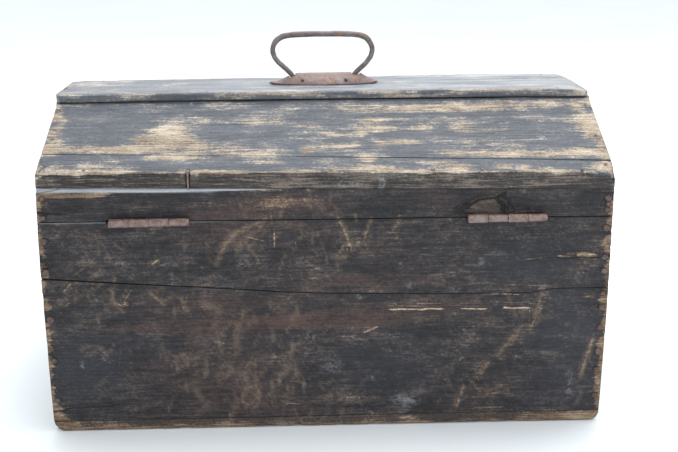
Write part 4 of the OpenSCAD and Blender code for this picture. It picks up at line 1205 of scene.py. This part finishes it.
def nail_head(points, faces, base, axis, size, rng):
    """Adds one hand-made nail head, standing on base along axis, to points and faces."""
    turns = 16
    rings = [(0.0, 0.95), (0.34, 0.92), (0.66, 0.78), (0.88, 0.50), (1.0, 0.08), (0.96, -0.6), (0.4, -2.5)]
    side_a = np.cross(axis, (0.3, 0.5, 0.81))
    side_a /= np.linalg.norm(side_a)
    side_b = np.cross(axis, side_a)
    tilt = rng.normal(0, 0.13, 2)
    lobes = rng.uniform(-0.12, 0.12, turns)
    lobes = (lobes + np.roll(lobes, 1)) / 1.5
    dents = rng.uniform(-0.28, 0.28, (len(rings), turns))
    start = len(points)
    for r, (ring, rise) in enumerate(rings):
        for t in range(turns if r else 1):
            angle = 2 * math.pi * t / turns
            reach = size * ring * (1 + lobes[t])
            a, b = reach * math.cos(angle), reach * math.sin(angle)
            h = rise * 1.7 + a * tilt[0] + b * tilt[1] + (dents[r][t] if 0 < r < 5 else 0)
            points.append(base + side_a * a + side_b * b + axis * h)
    for t in range(turns):
        n = (t + 1) % turns
        faces.append((start, start + 1 + t, start + 1 + n))
        for r in range(len(rings) - 2):
            i, j = start + 1 + r * turns, start + 1 + (r + 1) * turns
            faces.append((i + t, j + t, j + n, i + n))
    last = start + 1 + (len(rings) - 2) * turns
    faces.append(tuple(last + t for t in reversed(range(turns))))


def nail_heads(node, axis, body, radius=3.0, lean=None, sink=0.35, material=None):
    """Nail heads in place of a CAD node's nails; axis points out of the wood."""
    rng = np.random.default_rng(len(node) * 7)
    axis = np.array(axis, float)
    points, faces = [], []
    for spots in solids(node):
        out = spots @ axis
        apex = spots[out > out.max() - 0.02].mean(0)
        if lean is not None:
            apex = lean(apex[None])[0]
        nail_head(points, faces, apex - axis * (0.8 + sink), axis, radius * rng.uniform(0.8, 1.12), rng)
    return iron_piece("forged_" + node, np.array(points), faces, body, material=material or NAIL_IRON,
                      replaces=(node,))


def iron_piece(name, points, faces, body, material=None, replaces=()):
    obj = make_mesh(name, points, faces)
    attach(obj, body)
    if replaces:
        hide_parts(*replaces)
    obj.data.materials.append(material or RUSTY)
    return obj


nail_heads("nails_back", (0, 1, 0), "case", 3.0, case_lean, -0.1)
nail_heads("nails_front", (0, -1, 0), "case", 3.2, case_lean)
nail_heads("nails_floor", (0, 0, -1), "case", 2.6, case_lean, 0.4)
nail_heads("nails_rail_back", (0, 1, 0), "lid", 3.0, lid_lean, -0.1)
nail_heads("nails_rail_front", (0, -1, 0), "lid", 3.2, lid_lean)
nail_heads("nails_roof_back", (0, 0.38, 0.92), "lid", 1.7, lid_lean, 0.9, RUSTY)
nail_heads("nails_roof_front", (0, -0.38, 0.92), "lid", 1.7, lid_lean, 0.9, RUSTY)
nail_heads("nails_top", (0, 0, 1), "lid", 2.0, top_lean, 1.2, RUSTY)


def tube(path, radii, sides=18, caps=True):
    """A round bar along a path of points, with a radius at each."""
    path = np.asarray(path, float)
    ahead = np.gradient(path, axis=0)
    ahead /= np.linalg.norm(ahead, axis=1, keepdims=True)
    side = np.cross(ahead, (0.0, 1.0, 0.0))
    side /= np.linalg.norm(side, axis=1, keepdims=True)
    other = np.cross(ahead, side)
    angle = np.arange(sides) * 2 * math.pi / sides
    ring = (side[:, None] * np.cos(angle)[None, :, None] + other[:, None] * np.sin(angle)[None, :, None])
    points = (path[:, None] + ring * np.asarray(radii)[:, None, None]).reshape(-1, 3)
    i = np.arange(len(path) - 1)[:, None] * sides
    t = np.arange(sides)[None, :]
    n = (t + 1) % sides
    quads = np.stack([i + t, i + n, i + sides + n, i + sides + t], -1).reshape(-1, 4).tolist()
    if caps:
        quads.append(list(range(sides))[::-1])
        quads.append([(len(path) - 1) * sides + k for k in range(sides)])
    return points, quads


def roughen(points, faces, depth, size, seed):
    """Pushes points in and out along their normals, for scaly rust."""
    normal = np.zeros_like(points)
    for f in faces:
        a, b, c = points[f[0]], points[f[1]], points[f[2]]
        normal[list(f)] += np.cross(b - a, c - a)
    normal /= np.maximum(np.linalg.norm(normal, axis=1, keepdims=True), 1e-9)
    return points + normal * ((noise(points, size, seed, 3) - 0.5) * 2 * depth)[:, None]


# The bare nail, whose shank shows in the split at the eaves
head_z = lid_lean(np.array([[NAIL_X, HALF_D, EAVES_Z]]))[0][2]
shank = [(NAIL_X + 0.4 * math.sin(t * 3), HALF_D - 1.0, head_z + 1.5 - t * 18.5)
         for t in np.linspace(0, 1, 16)]
points, faces = tube(shank, np.concatenate([[1.7, 1.6], np.full(14, 1.0)]), 12)
iron_piece("bare_nail_shank", roughen(points, faces, 0.15, 2.5, 5), faces, "lid", material=RUSTY,
           replaces=("bare_nail",))

# ------------------------------------------------------------------ hinges

KNUCKLES = 4
BORE_R = (cad("hinge_left_pin")[1][2] - cad("hinge_left_pin")[0][2]) / 2 + 0.15
# Outer radius of each knuckle from the left end, how far the barrel has slipped along its pin
# pocket, and how much lower its right end hangs
BARRELS = {"left": ((3.5, 3.95, 3.4, 4.0), -1.4, 0.4), "right": ((3.6, 3.8, 3.75, 3.85), -1.1, 0.8)}
SAG = 0.9  # how much lower than its bore the worn outside of a knuckle sits


def revolve_x(profile, turns=28):
    """A closed ring of (x, radius) points turned about the hinge axis."""
    profile = np.asarray(profile, float)
    count = len(profile)
    angle = np.arange(turns) * 2 * math.pi / turns
    y = HINGE_Y + profile[:, 1, None] * np.cos(angle)
    z = HINGE_Z + profile[:, 1, None] * np.sin(angle)
    x = np.repeat(profile[:, :1], turns, axis=1)
    points = np.stack([x, y, z], -1).reshape(-1, 3)
    i, t = np.meshgrid(np.arange(count), np.arange(turns), indexing="ij")
    j, n = (i + 1) % count, (t + 1) % turns
    quads = np.stack([i * turns + t, j * turns + t, j * turns + n, i * turns + n], -1)
    return points, quads.reshape(-1, 4).tolist()


for name, (start, stop) in zip(("left", "right"), HINGE_SPANS):
    radii, slip, droop = BARRELS[name]
    length = (stop - start) / KNUCKLES
    for k, radius in enumerate(radii):
        crack = 0.12 if name == "left" else 0.05
        x0, x1 = start + slip + k * length + crack, start + slip + (k + 1) * length - crack
        xs = np.concatenate([[x0, x0 + 0.25, x0 + 0.7], np.linspace(x0 + 1.6, x1 - 1.6, 12),
                             [x1 - 0.7, x1 - 0.25, x1]])
        fall = np.array([0.5, 0.18, 0.05] + [0] * 12 + [0.05, 0.18, 0.5])
        if name == "left" and k == 0:
            fall[:3] = (0.95, 0.8, 0.55)
        outer = np.column_stack([xs, radius - fall])
        inner = np.column_stack([[x1 - 0.1, x0 + 0.1], [BORE_R, BORE_R]])
        points, faces = revolve_x(np.vstack([outer, inner]))
        bored = np.hypot(points[:, 1] - HINGE_Y, points[:, 2] - HINGE_Z) < BORE_R + 0.3
        grown = roughen(points, faces, 0.16, (5, 2.2, 2.2), 40 + k) - np.array([0, 0, SAG])
        points = np.where(bored[:, None], points, grown)
        points[:, 2] -= droop * (points[:, 0] - (start + stop) / 2) / (stop - start)
        iron_piece("hinge_%s_knuckle_%d" % (name, k + 1), points, faces, "lid" if k % 2 else "case")
    pin_r = BORE_R - 1.1
    outer = [(start + slip - 0.2, 0.02), (start + slip - 0.2, pin_r - 0.3), (start + slip, pin_r),
             (stop + slip, pin_r), (stop + slip + 0.2, pin_r - 0.3), (stop + slip + 0.2, 0.02)]
    points, faces = revolve_x(outer)
    points[:, 2] -= droop * (points[:, 0] - (start + stop) / 2) / (stop - start)
    iron_piece("hinge_%s_rod" % name, points, faces, "case", replaces=("hinge_%s_pin" % name,))
    for body, first in (("case", 0), ("lid", 1)):
        leaf = cad_points("hinge_%s_%s_leaf" % (name, body))
        flat = leaf[leaf[:, 1] < HALF_D - 1]
        low, high = flat.min(0) + 0.02, flat.max(0) - 0.02
        high[:2] = stop + slip - 0.1, HINGE_Y - BORE_R - 0.9
        spans = [start + k * length for k in range(KNUCKLES + 1)]
        fingers = [(spans[k] + slip + 0.4, spans[k + 1] + slip - 0.4) for k in range(first, KNUCKLES, 2)]

        def between(x, y, z):
            held = [(x > a) & (x < b) for a, b in fingers]
            return (y > HALF_D - 0.2) & ~(held[0] | held[1])

        grid = [lines(low[0], high[0], 5, 0.6, [v for f in fingers for v in f]),
                lines(low[1], high[1], 3, 0.6, (HALF_D - 0.2,)), lines(low[2], high[2], 1, 0.3)]
        points, quads = skin(*grid, between)
        iron_piece("hinge_%s_%s_plate" % (name, body), points, quads.tolist(), body,
                   replaces=("hinge_%s_%s_leaf" % (name, body),))

# ------------------------------------------------------------------ handle

# One side of the bail's wire, (distance from the middle, height above the top board), from its
# pivot bar up the leg, round the bend and along the grip. The other side differs a little.
BAIL = [(0, 7.6), (14, 7.6), (25.2, 7.6), (28.6, 7.9), (31.2, 9.6), (33.4, 12.2), (36.2, 15.2),
        (39.8, 18.6), (43.8, 22.1), (47.4, 25.6), (50.3, 29.6), (51.9, 33.8), (52.4, 38.2), (51.2, 43.0),
        (48.0, 47.8), (43.0, 51.0), (35.5, 52.8), (26, 53.5), (13, 53.8), (0, 53.8)]
BAIL_R = 2.65


def smooth_path(points, per=8):
    """A Catmull-Rom curve through points."""
    p = np.asarray(points, float)
    p = np.vstack([2 * p[0] - p[1], p, 2 * p[-1] - p[-2]])
    out = []
    for i in range(1, len(p) - 2):
        for t in np.linspace(0, 1, per, endpoint=False):
            out.append(0.5 * (2 * p[i] + (p[i + 1] - p[i - 1]) * t
                              + (2 * p[i - 1] - 5 * p[i] + 4 * p[i + 1] - p[i + 2]) * t * t
                              + (3 * p[i] - p[i - 1] - 3 * p[i + 1] + p[i + 2]) * t**3))
    out.append(p[-2])
    return np.array(out)


right = [(x + 0.7 * (x > 30), h) for x, h in BAIL]
left = [(-x + 0.9 * (x > 45), h - 0.35 * (20 < h < 50)) for x, h in BAIL]
loop = smooth_path(right[:-1] + left[::-1][:-1] + [right[0]])
path = np.column_stack([loop[:, 0], np.zeros(len(loop)), loop[:, 1] + TOP_Z])
path = path[:-1]
for _ in range(30):
    eased = (np.roll(path, 1, axis=0) + 2 * path + np.roll(path, -1, axis=0)) / 4
    path = np.where((path[:, 2] > TOP_Z + 11)[:, None], eased, path)
sides = 20
ahead = np.roll(path, -1, axis=0) - np.roll(path, 1, axis=0)
ahead /= np.linalg.norm(ahead, axis=1, keepdims=True)
across = np.cross(ahead, (0.0, 1.0, 0.0))
angle = np.arange(sides) * 2 * math.pi / sides
ring = across[:, None] * np.cos(angle)[None, :, None] + np.array([0, 1.0, 0]) * np.sin(angle)[None, :, None]
stout = BAIL_R + 0.35 * smooth(path[:, 2], TOP_Z + 42, TOP_Z + 50)
points = (path[:, None] + ring * stout[:, None, None]).reshape(-1, 3)
i = np.arange(len(path))[:, None]
t = np.arange(sides)[None, :]
quads = np.stack([i * sides + t, i * sides + (t + 1) % sides,
                  (i + 1) % len(path) * sides + (t + 1) % sides, (i + 1) % len(path) * sides + t], -1)
faces = quads.reshape(-1, 4)[:, ::-1].tolist()
grown = roughen(points, faces, 0.28, (6, 3, 3), 55)
above = points[:, 2] > TOP_Z + 9.5
iron_piece("bail_wire", np.where(above[:, None], grown, points), faces, "handle", material=WIRE_IRON,
           replaces=("handle_bail",))

# The plate: a lens in plan, raised over the pivot bar. On the hinge side it closes in front of the
# upright legs; on the other side it is cut away where they fold down.
PLATE_HALF_L = 57.0
PLATE_HALF_W = cad("handle_plate")[1][1] - 0.2
PLATE_FOOT = TOP_Z + 1.5
PLATE_T = 1.5
PLATE_SKIN = 1.7
CROWN_X = [-57, -51, -45.5, -38.5, -36, 0, 27, 31.5, 36, 41, 48, 57]
CROWN_H = [1.9, 4.4, 7.6, 11.7, 12.2, 12.1, 12.0, 11.0, 9.3, 6.9, 3.6, 1.9]
PIVOT_H = PIVOT_Z - PLATE_FOOT
LEG_X, LEG_H = 36.7, 15.2 - 1.5
LEG_TILT = math.radians(45)
CLEARANCE = 0.75


def plate_height(x, share):
    crown = np.interp(x, CROWN_X, CROWN_H)
    tent = 1 - np.sqrt(share**2 + 0.02)
    tent = np.clip(tent / (1 - math.sqrt(0.02)), 0, 1) ** 0.78
    return PLATE_T + np.maximum(crown - PLATE_T, 0) * tent


def swept(x, y, h):
    """Whether the upright bail, or a leg folding down away from the hinges, passes through a point."""
    above = h - PIVOT_H
    reach = np.where(y > 0, above, np.hypot(y, above))
    off = (np.abs(x) - LEG_X) * math.sin(LEG_TILT) - (reach - (LEG_H - PIVOT_H)) * math.cos(LEG_TILT)
    beside = np.where(y > 0, y, 0)
    in_leg = (np.hypot(off, beside) < BAIL_R + CLEARANCE) & (np.abs(x) > 29.5)
    in_bar = (np.hypot(y, above) < BAIL_R + CLEARANCE) & (np.abs(x) < 35.5)
    return (in_leg | in_bar) & (h > PIVOT_H - BAIL_R - 0.3 - 0.09 * np.abs(y))


half = np.unique(np.concatenate([np.linspace(0, 29, 20), np.arange(29, 43, 0.45),
                                 np.linspace(43, PLATE_HALF_L, 14)]))
xs = np.concatenate([-half[:0:-1], half])
shares = np.linspace(-1, 1, 61)
X, S = np.meshgrid(xs, shares, indexing="ij")
half_w = PLATE_HALF_W * np.clip(1 - (np.abs(X) / (PLATE_HALF_L + 0.6)) ** 2.1, 0.004, 1) ** 0.9
Y = S * half_w
top = plate_height(X, np.abs(S))
for _ in range(120):
    hit = swept(X, Y, top) | swept(X, Y, top - PLATE_SKIN / 2)
    hit = hit | swept(X, Y, np.maximum(top - PLATE_SKIN, 0.1))
    top = np.where(hit, top - 0.1, top)
lift = 0.9 * np.clip(np.abs(X) - 45, 0, None) / 12
top = top + lift
bottom = np.maximum(top - PLATE_SKIN, 0.05 + lift * 0.6)
rows, cols = X.shape
upper = np.column_stack([X.ravel(), Y.ravel(), top.ravel() + PLATE_FOOT])
under = np.column_stack([X.ravel(), Y.ravel(), bottom.ravel() + PLATE_FOOT])
index = np.arange(rows * cols).reshape(rows, cols)
count = rows * cols
faces = np.stack([index[:-1, :-1], index[1:, :-1], index[1:, 1:], index[:-1, 1:]], -1).reshape(-1, 4).tolist()
faces += [[v + count for v in f[::-1]] for f in faces]
rim = list(index[:, 0]) + list(index[-1, 1:]) + list(index[::-1, -1][1:]) + list(index[0, ::-1][1:-1])
for a, b in zip(rim, rim[1:] + rim[:1]):
    faces.append([int(b), int(a), int(a) + count, int(b) + count])
points = np.vstack([upper, under])
grown = roughen(points, faces, 0.20, (7, 4, 4), 63)
points = np.where((np.arange(len(points)) < count)[:, None], grown, points)
iron_piece("handle_cover", points, faces, "lid", material=PLATE_IRON, replaces=("handle_plate",))

# Its nails stand square to its sloping sides
PLATE_NAILS = [(-23.6, 9.6), (22.2, 9.5), (-22.5, -9.4), (22.0, -9.2)]
rng = np.random.default_rng(3)
points, faces = [], []
for x, y in PLATE_NAILS:
    h = [float(plate_height(x, (abs(y) + d) / PLATE_HALF_W)) for d in (-0.7, 0.7)]
    axis = np.array([0, math.copysign(h[0] - h[1], y), 1.4])
    axis /= np.linalg.norm(axis)
    nail_head(points, faces, np.array([x, y, PLATE_FOOT + sum(h) / 2 - 0.5]), axis, 1.8, rng)
iron_piece("forged_handle_nails", np.array(points), faces, "lid", material=NAIL_IRON,
           replaces=("handle_nails",))

# ------------------------------------------------------------------ carried-over ironwork

LOCK_NODES = ("lock_case", "lock_cover", "lock_bolt", "lock_catch", "lock_screws", "catch_screws")
for node, obj in frame["nodes"].items():
    if node.startswith(("hinge", "escutcheon")):
        obj.data.materials.clear()
        obj.data.materials.append(RUSTY)
    elif node in LOCK_NODES:
        obj.data.materials.clear()
        obj.data.materials.append(LOCK_IRON)

# ------------------------------------------------------------------ floor, light and camera


def plain(name, color, roughness):
    g = Graph(name)
    at = g.node("TexCoord").outputs["Object"]
    cloud = g.stretched(at, (2.0, 2.0, 2.0), 3, 0.5)
    shade = g.mix(g.step(cloud, 0.3, 0.7), color, tuple(0.97 * c for c in color))
    return g.finish(shade, roughness)


size = 9.0
floor = make_mesh("floor",
                  np.array([(-size, -size, 0), (size, -size, 0), (size, size, 0), (-size, size, 0)]) / MM,
                  [(0, 1, 2, 3)], smooth_faces=False)
floor.location.z = -0.0020
floor.rotation_euler.y = 0.0022
floor.data.materials.append(plain("pale_floor", (0.90, 0.955, 1.0), 0.55))

world = bpy.data.worlds.new("studio")
bpy.context.scene.world = world
world.use_nodes = True
sky = world.node_tree
way = sky.nodes.new("ShaderNodeTexCoord")
split = sky.nodes.new("ShaderNodeSeparateXYZ")
fade = sky.nodes.new("ShaderNodeMapRange")
sky.links.new(way.outputs["Generated"], split.inputs[0])
sky.links.new(split.outputs[1], fade.inputs["Value"])
for socket, value in (("From Min", -0.3), ("From Max", 0.7), ("To Min", 1.22), ("To Max", 0.66)):
    fade.inputs[socket].default_value = value
sky.links.new(fade.outputs[0], sky.nodes["Background"].inputs[1])
sky.nodes["Background"].inputs[0].default_value = (0.98, 0.995, 1.0, 1)


def softbox(name, place, aim, width, height, power, color=(1, 1, 1)):
    light = bpy.data.lights.new(name, "AREA")
    light.shape, light.size, light.size_y = "RECTANGLE", width, height
    light.energy, light.color = power, color
    obj = bpy.data.objects.new(name, light)
    bpy.context.scene.collection.objects.link(obj)
    obj.location = place
    look = np.array(aim, float) - np.array(place, float)
    pitch = math.atan2(math.hypot(look[0], look[1]), -look[2])
    obj.rotation_euler = (pitch, 0, math.atan2(look[1], look[0]) - math.pi / 2)
    return obj


softbox("top_light", (-0.3, -0.5, 2.2), (0, 0, 0.2), 2.2, 1.5, 46)
softbox("front_fill", (-1.2, 2.4, 1.4), (0, 0, 0.15), 2.2, 1.6, 18, (1.0, 0.99, 0.97))

LENS = 59.22
CAMERA = (0.01866, 1.1767, 0.4915)
PITCH_DOWN, TURN, ROLL = 0.2759, 0.0290, -0.0058
ahead = np.array([-math.sin(TURN) * math.cos(PITCH_DOWN), -math.cos(TURN) * math.cos(PITCH_DOWN),
                  -math.sin(PITCH_DOWN)])
level = np.array([-math.cos(TURN), math.sin(TURN), 0])
up = np.cross(level, ahead)
across = math.cos(ROLL) * level + math.sin(ROLL) * up
upward = math.cos(ROLL) * up - math.sin(ROLL) * level
camera = bpy.data.objects.new("camera", bpy.data.cameras.new("camera"))
bpy.context.scene.collection.objects.link(camera)
camera.data.lens, camera.data.sensor_width = LENS, 36.0
camera.matrix_world = Matrix([(*row, at) for row, at in zip(zip(across, upward, -ahead), CAMERA)]
                             + [(0, 0, 0, 1)])
bpy.context.scene.camera = camera
bpy.context.scene.view_settings.view_transform = "Standard"
